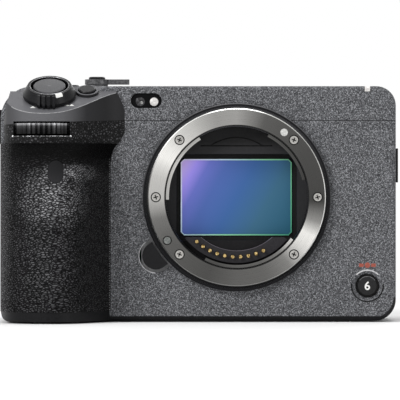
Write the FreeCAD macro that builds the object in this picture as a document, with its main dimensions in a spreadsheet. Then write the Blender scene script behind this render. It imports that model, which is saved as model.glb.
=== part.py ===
import FreeCAD, Part
import Sketcher
import os
import re

from FreeCAD import Rotation, Vector

# A compact full-frame cinema camera body without a lens. Millimetres.
# The lens looks along -Y, +Z is up, and +X is to the right as seen from in front.
# The origin is the mouth of the tripod socket, under the optical axis.

document = FreeCAD.newDocument("cinema_camera")
sheet = document.addObject("Spreadsheet::Sheet", "Sizes")

# Each driving size: its name, its value in millimetres or degrees, and what it is.
DRIVING_SIZES = [
    # The casing
    ("grip_side", 76.0, "optical axis to the grip's outer side"),
    ("port_side", 51.3, "optical axis to the port side"),
    ("case_bottom", 0.4, "underside of the base above the feet's soles"),
    ("case_top", 76.0, "top plate"),
    ("band_top", 1.9, "top of the black base band"),
    ("seam_height", 64.9, "seam between the front and top covers"),
    ("panel_front", 21.0, "front panel ahead of the tripod screw"),
    ("case_back", 22.0, "rear wall behind the tripod screw"),
    ("cover_split", 2.0, "seam between the front and rear covers"),
    ("cover_wall", 2.0, "wall of the covers"),
    ("corner_top", 6.3, "radius of the top corner on the port side"),
    ("corner_base", 6.8, "radius of the bottom corner on the port side"),
    ("corner_grip", 3.0, "radius of the bottom corner on the grip side"),
    ("corner_deck", 10.5, "radius of the top corner on the grip side"),
    ("edge_round", 1.2, "rounding of the casing's front and rear edges"),
    ("fit_gap", 0.1, "gap round a fixed part in its hole"),
    ("run_gap", 0.3, "gap round a moving part"),
    # The lens mount
    ("axis_height", 40.2, "optical axis above the table"),
    ("flange_front", 24.0, "lens flange ahead of the tripod screw"),
    ("throat_radius", 23.05, "bore of the steel mount ring"),
    ("flange_radius", 28.6, "outside of the steel mount ring"),
    ("flange_thick", 3.5, "thickness of the steel mount ring"),
    ("flange_chamfer", 0.3, "chamfer of the mount ring and the bezel"),
    ("channel_deep", 0.4, "channel behind the throat's lip"),
    ("tab_inner", 21.8, "inside of the bayonet tabs"),
    ("tab_depth", 1.3, "flange face to the bayonet tabs"),
    ("tab_thick", 1.4, "thickness of the bayonet tabs"),
    ("tab_groove", 0.5, "groove at the root of a tab"),
    ("bezel_radius", 30.2, "outside of the black bezel"),
    ("bezel_proud", 2.4, "bezel ahead of the front panel"),
    ("bezel_foot", 32.0, "foot of the bezel behind the panel"),
    ("bezel_rim", 0.8, "raised rim of the bezel, its width and its height"),
    ("screw_circle", 26.0, "pitch radius of the mount screws"),
    ("screw_head", 1.3, "radius of a mount screw's head"),
    ("screw_shank", 0.8, "radius of a mount screw's shank"),
    ("screw_sunk", 1.4, "depth of a mount screw's head"),
    ("cross_wide", 0.35, "cross slot of a mount screw"),
    ("cross_reach", 0.9, "half the length of a cross slot"),
    ("head_gap", 0.35, "gap round a mount screw's head"),
    ("lock_circle", 26.3, "pitch radius of the lens lock pin"),
    ("lock_angle", 211.9, "place of the lens lock pin"),
    ("lock_radius", 1.15, "lens lock pin"),
    ("lock_proud", 1.0, "lock pin ahead of the flange"),
    ("lock_travel", 1.2, "travel of the lock pin"),
    ("release_angle", 216.0, "place of the lens release button"),
    ("release_reach", 36.5, "axis to the button's far end"),
    ("release_width", 8.8, "width of the release button"),
    ("release_gap", 1.0, "gap round the release button"),
    ("release_travel", 1.5, "travel of the release button"),
    ("contact_circle", 19.2, "pitch radius of the contact pins"),
    ("contact_first", 228.1, "place of the first contact pin"),
    ("contact_pitch", 7.6, "step from pin to pin"),
    ("contact_radius", 0.55, "contact pin"),
    ("contact_travel", 0.6, "travel of a contact pin"),
    ("contact_sunk", 1.45, "contact pins behind the flange"),
    ("block_first", 218.5, "near end of the contact block"),
    ("block_sweep", 101.5, "sweep of the contact block"),
    ("contact_inner", 17.2, "inside of the contact block"),
    ("contact_outer", 21.2, "outside of the contact block"),
    # The inside, from the mount to the back
    ("chassis_front", 17.0, "front of the chassis plate"),
    ("chassis_thick", 2.0, "chassis plate"),
    ("chassis_half", 30.7, "half the width of the chassis"),
    ("chassis_low", 8.0, "bottom of the chassis"),
    ("chassis_rise", 22.8, "top of the chassis above the optical axis"),
    ("leg_wide", 3.0, "legs of the chassis"),
    ("baffle_wall", 1.0, "walls of the light baffle"),
    ("chamber_wide", 39.0, "opening of the light baffle"),
    ("chamber_tall", 28.0, "opening of the light baffle"),
    ("shutter_front", 10.9, "front of the shutter"),
    ("shutter_deep", 2.9, "depth of the shutter"),
    ("shutter_half", 24.0, "half the width of the shutter"),
    ("shutter_skin", 0.5, "plates of the shutter"),
    ("gate_wide", 37.0, "opening of the shutter"),
    ("gate_tall", 25.6, "opening of the shutter"),
    ("blade_tall", 9.4, "height of a shutter blade"),
    ("blade_thick", 0.2, "thickness of a shutter blade"),
    ("sensor_front", 7.0, "cover glass of the sensor"),
    ("sensor_deep", 2.8, "depth of the sensor"),
    ("sensor_wide", 41.0, "width of the sensor"),
    ("sensor_tall", 30.0, "height of the sensor"),
    ("carrier_thick", 1.5, "plates of the stabiliser"),
    ("board_front", 4.0, "main board behind the tripod screw"),
    ("board_thick", 1.6, "main board"),
    ("board_reach", 48.0, "optical axis to the board's grip-side end"),
    ("processor_wide", 16.0, "processor"),
    ("duct_thick", 1.0, "heat spreader"),
    ("fin_half", 28.0, "half the length of the cooling fins"),
    ("fin_low", 14.0, "lowest cooling fin"),
    ("fin_high", 58.0, "top of the cooling fins"),
    ("fin_deep", 5.4, "depth of the cooling fins"),
    ("fan_across", 40.0, "fan's axis from the optical axis"),
    ("fan_height", 25.0, "fan's axis above the table"),
    ("fan_radius", 7.2, "fan rotor"),
    ("fan_hub", 2.6, "hub of the fan rotor"),
    ("fan_wide", 18.0, "fan housing"),
    ("fan_front", 17.0, "front of the fan housing"),
    ("fan_deep", 8.0, "depth of the fan housing"),
    # The grip
    ("grip_inner", 40.6, "axis to the grip's inner edge on the panel"),
    ("grip_reach", 27.0, "grip ahead of the front panel"),
    ("grip_foot", 3.65, "top of the grip's base cap"),
    ("grip_lift", 0.6, "underside of the grip's base cap"),
    ("cap_round", 3.0, "rounding of the base cap's outer edge"),
    ("grip_joint", 57.4, "seam between the grip and its black top"),
    ("leather_thick", 1.2, "moulded grip cover"),
    ("frame_thick", 2.0, "grip frame under the cover"),
    ("window_across", 57.4, "infrared window from the optical axis"),
    ("window_height", 48.3, "infrared window above the table"),
    ("window_wide", 5.0, "width of the infrared window"),
    ("window_tall", 7.3, "height of the infrared window"),
    # The sloping deck on top of the grip
    ("deck_tilt", 28.0, "slope of the deck"),
    ("deck_lip", 67.6, "height of the deck's front lip"),
    ("deck_reach", 12.6, "front lip ahead of the front panel"),
    ("top_wall", 2.0, "wall of the grip top"),
    ("nose_outer", 74.6, "optical axis to the nose's outer side"),
    ("nose_inner", 36.0, "optical axis to the nose's inner end"),
    ("nose_reach", 13.8, "nose ahead of the front panel"),
    ("nose_flare", 2.1, "lower inner corner of the nose, across"),
    ("nose_rise", 3.6, "lower inner corner of the nose, upwards"),
    ("nose_crest", 2.7, "upper inner corner of the nose, across"),
    ("crest_rise", 6.4, "upper corners of the nose, above the deck's lip"),
    ("nose_shoulder", 1.7, "upper outer corner of the nose, across"),
    ("tongue_outer", 69.8, "optical axis to the outer end of the deck's tongue"),
    ("tongue_end", 43.6, "optical axis to the inner end of the deck's tongue"),
    ("tongue_wall", 0.8, "end walls of the deck's tongue"),
    ("tongue_back", 13.0, "rear of the tongue ahead of the tripod screw"),
    ("shutter_across", 60.1, "shutter button from the optical axis"),
    ("shutter_ahead", 3.4, "shutter button ahead of the front panel"),
    ("shutter_radius", 5.15, "shutter button"),
    ("shutter_tall", 4.0, "shutter button above the deck"),
    ("shutter_travel", 1.2, "travel of the shutter button"),
    ("zoom_radius", 8.5, "foot of the zoom lever"),
    ("zoom_rim", 7.0, "rim of the zoom lever"),
    ("zoom_bore", 6.1, "bore of the zoom lever"),
    ("zoom_foot", 1.35, "straight foot of the zoom lever"),
    ("zoom_tall", 4.0, "zoom lever above the deck"),
    ("deck_across", 48.1, "deck button from the optical axis"),
    ("deck_ahead", 0.9, "deck button ahead of the front panel"),
    ("deck_radius", 2.7, "deck button"),
    ("deck_proud", 1.5, "deck button above the deck"),
    ("deck_collar", 3.65, "collar round the deck button"),
    ("collar_proud", 0.95, "collar above the deck"),
    ("dial_across", 62.35, "front dial from the optical axis"),
    ("dial_ahead", 4.5, "front dial's axle ahead of the panel"),
    ("dial_height", 62.1, "middle of the front dial"),
    ("dial_radius", 10.0, "front dial"),
    ("dial_thick", 3.4, "front dial"),
    ("dial_window", 9.05, "half the width of the front dial's window"),
    ("axle_radius", 1.5, "fixed axle of a dial"),
    ("knurl_deep", 0.6, "depth of a dial's knurling"),
    ("rib_wide", 0.8, "finger rib of the zoom lever"),
    ("rib_proud", 0.9, "finger rib of the zoom lever"),
    # The top plate
    ("record_across", 45.6, "top record button from the optical axis"),
    ("record_back", 5.0, "top record button behind the tripod screw"),
    ("record_radius", 2.7, "top record button"),
    ("record_proud", 3.7, "top record button above the top plate"),
    ("button_travel", 0.8, "travel of a push button"),
    ("power_radius", 4.0, "power lever's ring"),
    ("power_reach", 10.6, "power lever's arm"),
    ("power_wide", 3.0, "power lever's arm"),
    ("power_tall", 1.65, "thickness of the power lever"),
    ("power_rise", 1.2, "power lever above the top plate"),
    ("neck_wall", 0.6, "walls of the two levers' necks"),
    ("shoe_wide", 24.0, "accessory shoe over its sides"),
    ("shoe_slot", 18.8, "width of the shoe's channel"),
    ("shoe_throat", 12.6, "gap between the shoe's lips"),
    ("shoe_long", 26.0, "length of the accessory shoe"),
    ("shoe_deep", 4.4, "shoe's pocket below the top plate"),
    ("shoe_floor", 0.8, "floor of the shoe"),
    ("shoe_height", 2.2, "height of the shoe's channel"),
    ("pane_across", 29.1, "front sensor window from the optical axis"),
    ("pane_height", 71.3, "front sensor window above the table"),
    ("pane_wide", 10.0, "width of the front sensor window"),
    ("pane_tall", 4.8, "height of the front sensor window"),
    ("tally_across", 42.1, "tally lamp from the optical axis"),
    ("tally_wide", 1.7, "tally lamp"),
    ("tally_tall", 1.7, "tally lamp"),
    ("top_button_radius", 2.6, "top buttons"),
    ("top_button_back", 4.0, "top buttons behind the tripod screw"),
    ("top_outer_across", 62.0, "outer top button from the optical axis"),
    ("top_inner_across", 54.0, "inner top button from the optical axis"),
    # The front panel
    ("start_across", 42.1, "front record button from the optical axis"),
    ("start_height", 11.7, "front record button above the table"),
    ("start_radius", 3.0, "front record button"),
    ("start_well", 3.8, "well of the front record button"),
    ("start_dish", 5.2, "dish round the front record button"),
    ("start_dish_deep", 0.8, "depth of the dish"),
    # The control pod on the back
    ("pod_outer", 75.0, "optical axis to the pod's outer side"),
    ("pod_inner", 31.0, "optical axis to the pod's inner side"),
    ("pod_bottom", 4.0, "bottom of the pod"),
    ("pod_top", 63.5, "top of the pod"),
    ("pod_back", 26.0, "face of the pod"),
    ("thumb_back", 36.0, "rearmost point of the thumb rest"),
    ("thumb_wide", 13.0, "width of the thumb rest"),
    ("thumb_low", 41.0, "bottom of the thumb rest"),
    ("wheel_across", 51.0, "control wheel from the optical axis"),
    ("wheel_height", 30.0, "control wheel above the table"),
    ("wheel_radius", 9.5, "control wheel"),
    ("wheel_inner", 4.2, "bore of the control wheel"),
    ("wheel_proud", 1.4, "control wheel behind the pod's face"),
    ("centre_radius", 3.7, "centre button"),
    ("stick_across", 50.5, "joystick from the optical axis"),
    ("stick_height", 54.0, "joystick above the table"),
    ("stick_cap", 3.4, "joystick's cap"),
    ("stick_proud", 4.0, "joystick behind the pod's face"),
    ("stick_pivot", 21.6, "joystick's pivot behind the tripod screw"),
    ("stick_stem", 1.6, "joystick's stem"),
    ("gimbal_outer", 6.0, "gimbal ring"),
    ("gimbal_inner", 3.6, "gimbal ring"),
    ("gimbal_thick", 1.2, "gimbal ring"),
    ("gimbal_pin", 0.4, "pivot pins of the joystick and its gimbal"),
    ("rear_dial_across", 60.0, "rear dial from the optical axis"),
    ("rear_dial_back", 15.5, "rear dial's axle"),
    ("rear_dial_height", 69.2, "middle of the rear dial"),
    ("rear_dial_radius", 9.5, "rear dial"),
    ("rear_dial_thick", 4.0, "rear dial"),
    ("rear_dial_window", 8.3, "half the width of the rear dial's slot"),
    ("key_radius", 3.0, "menu, function and playback buttons"),
    ("key_proud", 1.0, "push buttons above their wall"),
    ("key_flange", 1.0, "flange that keeps a push button in"),
    ("menu_across", 37.0, "menu button from the optical axis"),
    ("menu_height", 55.0, "menu button above the table"),
    ("function_across", 37.0, "function button from the optical axis"),
    ("function_height", 43.5, "function button above the table"),
    ("playback_across", 42.0, "playback button from the optical axis"),
    ("playback_height", 13.0, "playback button above the table"),
    # The monitor
    ("monitor_axis_across", 48.2, "monitor hinge from the optical axis"),
    ("monitor_axis_back", 26.15, "monitor hinge behind the tripod screw"),
    ("monitor_thick", 6.3, "monitor"),
    ("monitor_wide", 71.8, "monitor"),
    ("monitor_low", 14.0, "bottom of the monitor"),
    ("monitor_high", 60.0, "top of the monitor"),
    ("monitor_setback", 3.4, "hinge's axis to the monitor's edge"),
    ("knuckle_radius", 2.6, "knuckles of the monitor's hinge"),
    ("knuckle_long", 3.7, "fixed knuckles of the monitor's hinge"),
    ("knuckle_end", 2.0, "end of the monitor to the fixed knuckle"),
    ("pin_radius", 1.0, "pin of the monitor's hinge"),
    ("screen_wide", 66.0, "screen"),
    ("screen_tall", 42.0, "screen"),
    ("screen_thick", 1.0, "screen"),
    # The battery and its door
    ("battery_side", 71.8, "battery's outer side from the optical axis"),
    ("battery_wide", 22.7, "battery"),
    ("battery_front", 27.0, "battery's front"),
    ("battery_deep", 38.7, "battery"),
    ("battery_low", 3.2, "battery's foot"),
    ("battery_tall", 51.7, "battery"),
    ("door_thick", 2.2, "battery door"),
    ("door_margin", 1.5, "battery door beyond the battery"),
    # The doors on the sides
    ("flap_thick", 2.0, "side doors"),
    ("card_door_front", 9.0, "front edge of the card door"),
    ("card_door_back", 20.4, "rear edge of the card door"),
    ("card_door_low", 10.0, "bottom of the card door"),
    ("card_door_high", 48.0, "top of the card door"),
    ("card_unit_inner", 46.0, "inner end of the card unit"),
    ("card_unit_low", 12.0, "bottom of the card unit"),
    ("card_unit_high", 45.4, "top of the card unit"),
    ("card_unit_deep", 9.2, "depth of the card unit"),
    ("card_slot_tall", 24.4, "card slots"),
    ("card_slot_thick", 2.5, "card slots"),
    ("flap_front", 5.0, "front edge of the port doors"),
    ("flap_back", 18.0, "rear edge of the port doors"),
    ("audio_low", 36.0, "bottom of the audio door"),
    ("audio_high", 60.0, "top of the audio door"),
    ("data_low", 9.0, "bottom of the data door"),
    ("data_high", 33.0, "top of the data door"),
    ("jack_radius", 1.75, "bore of an audio jack"),
    ("port_board", 38.4, "sockets' board from the optical axis"),
    ("picture_height", 25.8, "picture socket above the table"),
    ("picture_wide", 15.0, "picture socket"),
    ("picture_deep", 4.9, "picture socket"),
    ("data_height", 15.0, "data socket above the table"),
    ("data_wide", 9.4, "data socket"),
    ("data_deep", 3.6, "data socket"),
    ("socket_skin", 0.5, "wall of a socket"),
    # Threaded sockets, lugs, feet and screws
    ("thread_radius", 3.175, "quarter-inch screw thread"),
    ("thread_deep", 5.5, "depth of the threaded sockets"),
    ("insert_radius", 4.6, "outside of a threaded insert"),
    ("tripod_radius", 5.6, "outside of the tripod insert"),
    ("tripod_plate", 9.0, "plate of the tripod insert"),
    ("top_socket_right", 36.0, "top sockets on the port side"),
    ("top_socket_left", 25.0, "top socket beside the shoe"),
    ("top_socket_front", 9.0, "front top sockets ahead of the screw"),
    ("top_socket_back", 12.0, "rear top socket behind the screw"),
    ("port_socket_front", 8.0, "side socket ahead of the screw"),
    ("port_socket_height", 39.5, "side socket above the table"),
    ("grip_socket_back", 16.6, "grip-side socket behind the screw"),
    ("grip_socket_height", 56.0, "grip-side socket above the table"),
    ("lug_proud", 1.0, "strap lugs beyond the casing"),
    ("lug_front", 14.0, "strap lugs ahead of the screw"),
    ("lug_deep", 6.0, "strap lugs along the casing"),
    ("lug_tall", 11.0, "height of a strap lug"),
    ("lug_slot", 2.2, "slot of a strap lug"),
    ("port_lug_low", 45.0, "foot of the port-side lug"),
    ("grip_lug_low", 57.5, "foot of the grip-side lug"),
    ("grille_low", 14.0, "lowest cooling slot"),
    ("grille_pitch", 3.0, "step from slot to slot"),
    ("grille_slot", 1.4, "height of a cooling slot"),
    ("grille_front", 15.0, "front end of the cooling slots"),
    ("grille_back", 3.0, "rear end of the cooling slots"),
    ("foot_radius", 2.5, "feet"),
    ("foot_grip", 62.0, "grip-side feet from the optical axis"),
    ("foot_nose", 36.0, "foot under the grip's nose ahead of the screw"),
    ("foot_port", 34.0, "port-side feet from the optical axis"),
    ("foot_inset", 4.5, "feet inside the casing's front and rear"),
    ("case_screw_head", 1.6, "head of a base screw"),
    ("case_screw_shank", 0.9, "shank of a base screw"),
    ("case_screw_long", 6.0, "base screw"),
    ("boss_radius", 2.4, "boss of a base screw"),
    ("boss_front", 15.5, "front bosses ahead of the tripod screw"),
    ("boss_back", 17.0, "rear bosses behind the tripod screw"),
    ("boss_right", 43.0, "bosses on the port side"),
    ("boss_left", 36.0, "front boss on the grip side"),
    ("boss_middle", 26.0, "rear boss on the grip side"),
]

for row, (alias, number, note) in enumerate(DRIVING_SIZES, start=1):
    sheet.set(f"A{row}", note)
    sheet.set(f"B{row}", str(number))
    sheet.setAlias(f"B{row}", alias)
document.recompute()

SCREW_ANGLES = (0, 45, 135, 180, 225, 315)
TAB_SECTORS = ((122, 60), (14.5, 48.5), (243, 80))
CONTACT_COUNT = 10
DIAL_TEETH = 36
FAN_BLADES = 9
FIN_COUNT = 9
GRILLE_COUNT = 6
BLADE_COUNT = 3

FACING_FRONT = Rotation(Vector(1, 0, 0), 90)
FACING_RIGHT = Rotation(Vector(0, 1, 0), 90)
FACING_BACK = Rotation(Vector(1, 0, 0), -90)
FACING_LEFT = Rotation(Vector(0, 1, 0), -90)
UPRIGHT = Rotation(Vector(0, 0, 1), 0)


def expression(text):
    """Point every size named in the text at its cell of the sheet."""
    return re.sub(r"\b([a-z]+(?:_[a-z]+)+)\b", r"Sizes.\1", text)


def bind(thing, prop, text):
    thing.setExpression(prop, expression(text))


def size(text):
    """The present value of a size, or of a sum of sizes."""
    return float(sheet.evalExpression(expression(text)))


def place(thing, rotation, x="0", y="0", z="0"):
    thing.Placement = FreeCAD.Placement(Vector(0, 0, 0), rotation)
    bind(thing, "Placement.Base.x", x)
    bind(thing, "Placement.Base.y", y)
    bind(thing, "Placement.Base.z", z)


def box(name, x, y, z):
    """A block between two values along each axis."""
    block = document.addObject("Part::Box", name)
    place(block, UPRIGHT, x[0], y[0], z[0])
    bind(block, "Length", f"({x[1]}) - ({x[0]})")
    bind(block, "Width", f"({y[1]}) - ({y[0]})")
    bind(block, "Height", f"({z[1]}) - ({z[0]})")
    return block


def rod(name, axis, centre, span, radius, turn=0, sweep=360):
    """A cylinder, or a sector of one, along an axis between two values."""
    cylinder = document.addObject("Part::Cylinder", name)
    start = Rotation(Vector(0, 0, 1), turn)
    if axis == "x":
        place(cylinder, FACING_RIGHT, span[0], centre[0], centre[1])
    elif axis == "y":
        place(cylinder, FACING_FRONT.multiply(start), centre[0], span[1], centre[1])
    else:
        place(cylinder, start, centre[0], centre[1], span[0])
    bind(cylinder, "Radius", radius)
    bind(cylinder, "Height", f"({span[1]}) - ({span[0]})")
    cylinder.Angle = sweep
    return cylinder


def cone(name, axis, centre, span, near, far):
    """A cone along an axis, with its radius at the lower and the higher value."""
    cone_piece = document.addObject("Part::Cone", name)
    if axis == "y":
        place(cone_piece, FACING_FRONT, centre[0], span[1], centre[1])
        near, far = far, near
    else:
        place(cone_piece, UPRIGHT, centre[0], centre[1], span[0])
    bind(cone_piece, "Radius1", near)
    bind(cone_piece, "Radius2", far)
    bind(cone_piece, "Height", f"({span[1]}) - ({span[0]})")
    return cone_piece


def tilted_rod(name, centre, low, high, radius):
    """A cylinder square to the deck, from low to high above a point of the deck."""
    cylinder = document.addObject("Part::Cylinder", name)
    across, ahead = centre
    on_deck(cylinder, across, ahead, low)
    bind(cylinder, "Radius", radius)
    bind(cylinder, "Height", f"({high}) - ({low})")
    return cylinder


def on_deck(thing, across, ahead, rise="0"):
    """Stand a piece square on the deck, at a place given from the axis and the panel."""
    height = f"deck_lip + (deck_reach - ({ahead})) * tan(deck_tilt)"
    thing.Placement = FreeCAD.Placement(Vector(0, 0, 0), Rotation(Vector(1, 0, 0), 1))
    bind(thing, "Placement.Base.x", f"-({across})")
    bind(thing, "Placement.Base.y", f"-panel_front - ({ahead}) - ({rise}) * sin(deck_tilt)")
    bind(thing, "Placement.Base.z", f"{height} + ({rise}) * cos(deck_tilt)")
    bind(thing, "Placement.Rotation.Angle", "deck_tilt")


def cut(name, base, *tools):
    """Take each tool from the base in turn."""
    result = base
    for number, tool in enumerate(tools, start=1):
        last = number == len(tools)
        step = document.addObject("Part::Cut", name if last else f"{name}_cut")
        step.Base = result
        step.Tool = tool
        result = step
    return result


def join(name, *pieces):
    fuse = document.addObject("Part::MultiFuse", name)
    fuse.Shapes = list(pieces)
    fuse.Refine = True
    return fuse


def keep(name, *pieces):
    common = document.addObject("Part::MultiCommon", name)
    common.Shapes = list(pieces)
    return common


def group(name, *pieces):
    """Separate solids that share one node."""
    compound = document.addObject("Part::Compound", name)
    compound.Links = list(pieces)
    return compound


def new_body(name):
    return document.addObject("PartDesign::Body", name)


def new_sketch(body, role, name, level="0"):
    """A sketch on one of the body's own planes, moved along its normal by level."""
    sketch = body.newObject("Sketcher::SketchObject", name)
    plane = [item for item in body.Origin.OriginFeatures if item.Role == role][0]
    sketch.AttachmentSupport = [(plane, "")]
    sketch.MapMode = "FlatFace"
    bind(sketch, "AttachmentOffset.Base.z", level)
    return sketch


def draw_polygon(sketch, points):
    """A closed outline through points whose coordinates are sums of sizes."""
    corners = [Vector(size(across), size(up), 0) for across, up in points]
    count = len(corners)
    first = sketch.GeometryCount
    for index, corner in enumerate(corners):
        sketch.addGeometry(Part.LineSegment(corner, corners[(index + 1) % count]), False)
    for index in range(count):
        here = first + index
        following = first + (index + 1) % count
        sketch.addConstraint(Sketcher.Constraint("Coincident", here, 2, following, 1))
    for index, (across, up) in enumerate(points):
        fix_point(sketch, first + index, 1, across, up)


def fix_point(sketch, geometry, which, across, up):
    """Tie a point of the sketch to its two coordinates."""
    for kind, text in (("DistanceX", across), ("DistanceY", up)):
        distance = size(text)
        if abs(distance) < 1e-9:
            axis = -2 if kind == "DistanceX" else -1
            sketch.addConstraint(Sketcher.Constraint("PointOnObject", geometry, which, axis))
        else:
            number = sketch.addConstraint(
                Sketcher.Constraint(kind, -1, 1, geometry, which, distance))
            bind(sketch, f"Constraints[{number}]", text)


def pad(body, sketch, name, length):
    feature = body.newObject("PartDesign::Pad", name)
    feature.Profile = sketch
    bind(feature, "Length", length)
    return feature


def pocket(body, sketch, name, length, towards_normal=False):
    """A pocket runs against the sketch's normal unless it is told otherwise."""
    feature = body.newObject("PartDesign::Pocket", name)
    feature.Profile = sketch
    feature.Reversed = towards_normal
    bind(feature, "Length", length)
    return feature


def turn(body, name, profile):
    """A piece turned round its body's Z axis from a profile of radius and height."""
    sketch = new_sketch(body, "XZ_Plane", f"{name}_profile")
    draw_polygon(sketch, profile)
    feature = body.newObject("PartDesign::Revolution", f"{name}_turned")
    feature.Profile = sketch
    feature.ReferenceAxis = (sketch, ["V_Axis"])
    feature.Angle = 360
    return feature


def soften(body, feature, radius, wanted):
    """Round the edges of the feature that the test picks by their middle points."""
    document.recompute()
    names = []
    for number, edge in enumerate(feature.Shape.Edges, start=1):
        if edge.Length > 1e-6 and wanted(edge):
            names.append(f"Edge{number}")
    fillet = body.newObject("PartDesign::Fillet", f"{feature.Name}_rounded")
    fillet.Base = (feature, names)
    bind(fillet, "Radius", radius)
    return fillet


def middle(edge):
    return edge.valueAt((edge.FirstParameter + edge.LastParameter) / 2)


def runs_along(edge, direction):
    """True for a straight edge in the given direction."""
    if not isinstance(edge.Curve, Part.Line):
        return False
    return abs(abs(edge.tangentAt(edge.FirstParameter).dot(direction)) - 1) < 1e-6


def round_corners(body, feature, direction, corners):
    """Give each straight edge along a direction the radius of its own corner."""
    for radius, test in corners:
        feature = soften(body, feature, radius, lambda edge: (
            runs_along(edge, direction) and test(middle(edge))))
    return feature


def polar(radius, angle):
    """Across and up from the optical axis, as sums of sizes."""
    across = f"({radius}) * cos({angle})"
    up = f"axis_height + ({radius}) * sin({angle})"
    return across, up


nodes = []


def node(piece, label=None):
    """Mark a piece as one of the object's own, under the name that its file gets."""
    piece.Label = label or piece.Name
    nodes.append(piece)
    return piece


# The casing's outer form and the room inside it, which the four covers share.
def casing_block(name, inset, bottom, front, back):
    body = new_body(name)
    outline = new_sketch(body, "XZ_Plane", f"{name}_outline", f"-({back})")
    left = f"{inset} - grip_side"
    right = f"port_side - {inset}"
    top = f"case_top - {inset}"
    draw_polygon(outline, [(left, bottom), (right, bottom), (right, top), (left, top)])
    block = pad(body, outline, f"{name}_block", f"({front}) + ({back})")
    centre = (size("port_side") - size("grip_side")) / 2
    half_height = size("case_top") / 2
    feature = round_corners(body, block, Vector(0, 1, 0), [
        (f"corner_top - {inset}", lambda p: p.x > centre and p.z > half_height),
        (f"corner_base - {inset}", lambda p: p.x > centre and p.z < half_height),
        (f"corner_grip - {inset}", lambda p: p.x < centre and p.z < half_height),
        (f"corner_deck - {inset}", lambda p: p.x < centre and p.z > half_height),
    ])
    return body, feature


casing, casing_feature = casing_block("casing_form", "0", "case_bottom", "panel_front", "case_back")
soften(casing, casing_feature, "edge_round", lambda edge: (
    abs(abs(middle(edge).y + 0.5 * (size("panel_front") - size("case_back")))
        - 0.5 * (size("panel_front") + size("case_back"))) < 1e-6))
hollow, hollow_feature = casing_block(
    "casing_room", "cover_wall", "band_top", "panel_front - cover_wall", "case_back - cover_wall")


def casing_slab(name, y, z):
    """The part of the casing between two values of depth and of height."""
    across = ("-grip_side - cover_wall", "port_side + cover_wall")
    return keep(name, casing, box(f"{name}_slab", across, y, z))


ALL_DEPTH = ("-panel_front - cover_wall", "case_back + cover_wall")


# The deck: everything above its slope is taken away. The drop lowers the slope.
def above_deck(name, drop="0"):
    body = new_body(name)
    sketch = new_sketch(body, "YZ_Plane", f"{name}_side", "-grip_side - cover_wall")
    lip = "-panel_front - deck_reach"
    low = f"deck_lip - deck_reach * tan(deck_tilt) - ({drop})"
    back = f"{lip} + (case_top - deck_lip) / tan(deck_tilt) + cover_wall"
    high = f"case_top + cover_wall * tan(deck_tilt) - ({drop})"
    roof = "case_top + deck_reach"
    draw_polygon(sketch, [
        (f"{lip} - deck_reach", low), (back, high), (back, roof), (f"{lip} - deck_reach", roof)])
    pad(body, sketch, f"{name}_wedge", "grip_side + cover_wall - nose_inner + fit_gap")
    return body


def freeform(name, shape):
    piece = document.addObject("Part::Feature", name)
    piece.Shape = shape
    piece.Placement = FreeCAD.Placement(Vector(0, 0, 0), UPRIGHT)
    return piece


# Plans of the grip seen from above. Each point is a share of the width, from the inner end
# to the outer side, and a share of the reach ahead of the front panel.
GRIP_PLAN = ((0, 0), (0.1, 0.3), (0.2, 0.62), (0.32, 0.89), (0.5, 1), (0.7, 0.93), (0.9, 0.68),
             (0.985, 0.33), (1, 0))
NOSE_PLAN = ((0, 0), (0.08, 0.08), (0.22, 0.36), (0.37, 0.71), (0.54, 0.96), (0.7, 1), (0.86, 0.88),
             (0.965, 0.58), (1, 0.25), (1, 0))
# Levels of the grip: a share of its height, the share of its reach at that height, and the
# share of the nose's flare by which its inner edge leans towards the nose.
GRIP_LEVELS = ((0, 0.85, 0), (0.2, 0.93, 0), (0.42, 0.985, 0), (0.64, 1, 0), (0.8, 0.96, 0),
               (0.92, 0.8, 0.1), (1, 0.54, 1))


def plan_wire(plan, inner, outer, reach, height):
    """A smooth outline through a plan's points, closed along the front panel."""
    back = -size("panel_front")
    points = [Vector(-inner - share * (outer - inner), back - ahead * reach, height)
              for share, ahead in plan]
    curve = Part.BSplineCurve()
    curve.interpolate(points)
    return Part.Wire([curve.toShape(), Part.LineSegment(points[-1], points[0]).toShape()])


def grip_loft(inset, low, high):
    """The grip's bulge, drawn in by an inset on every side but the front panel's."""
    foot = size("grip_foot")
    rise = size("grip_joint") - foot
    lean = size("grip_inner - nose_inner - nose_flare")
    outer = size("grip_side") - inset
    sections = []
    for share, ahead, flare in GRIP_LEVELS:
        inner = size("grip_inner") + inset - flare * lean
        reach = ahead * size("grip_reach") - inset
        sections.append(plan_wire(GRIP_PLAN, inner, outer, reach, foot + share * rise))
    bulge = Part.makeLoft(sections, True)
    span = size("grip_side")
    room = Part.makeBox(2 * span, 2 * span, high - low, Vector(-2 * span, -2 * span, low))
    return bulge.common(room) if high - low < rise else bulge


def nose_prism(inset, low, high):
    wire = plan_wire(NOSE_PLAN, size("nose_inner") + inset, size("nose_outer") - inset,
                     size("nose_reach") - inset, low)
    return Part.Face(wire).extrude(Vector(0, 0, high - low))


# Grip: a moulded cover over a stiff frame, both open towards the front panel.
foot_height = size("grip_foot")
joint_height = size("grip_joint")
liner_outer = size("leather_thick + fit_gap")
liner_inner = size("leather_thick + fit_gap + frame_thick")
skin = grip_loft(0, foot_height, joint_height).cut(
    grip_loft(size("leather_thick"), foot_height, joint_height))
frame = grip_loft(liner_outer, foot_height,
                  joint_height).cut(grip_loft(liner_inner, foot_height, joint_height))


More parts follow.
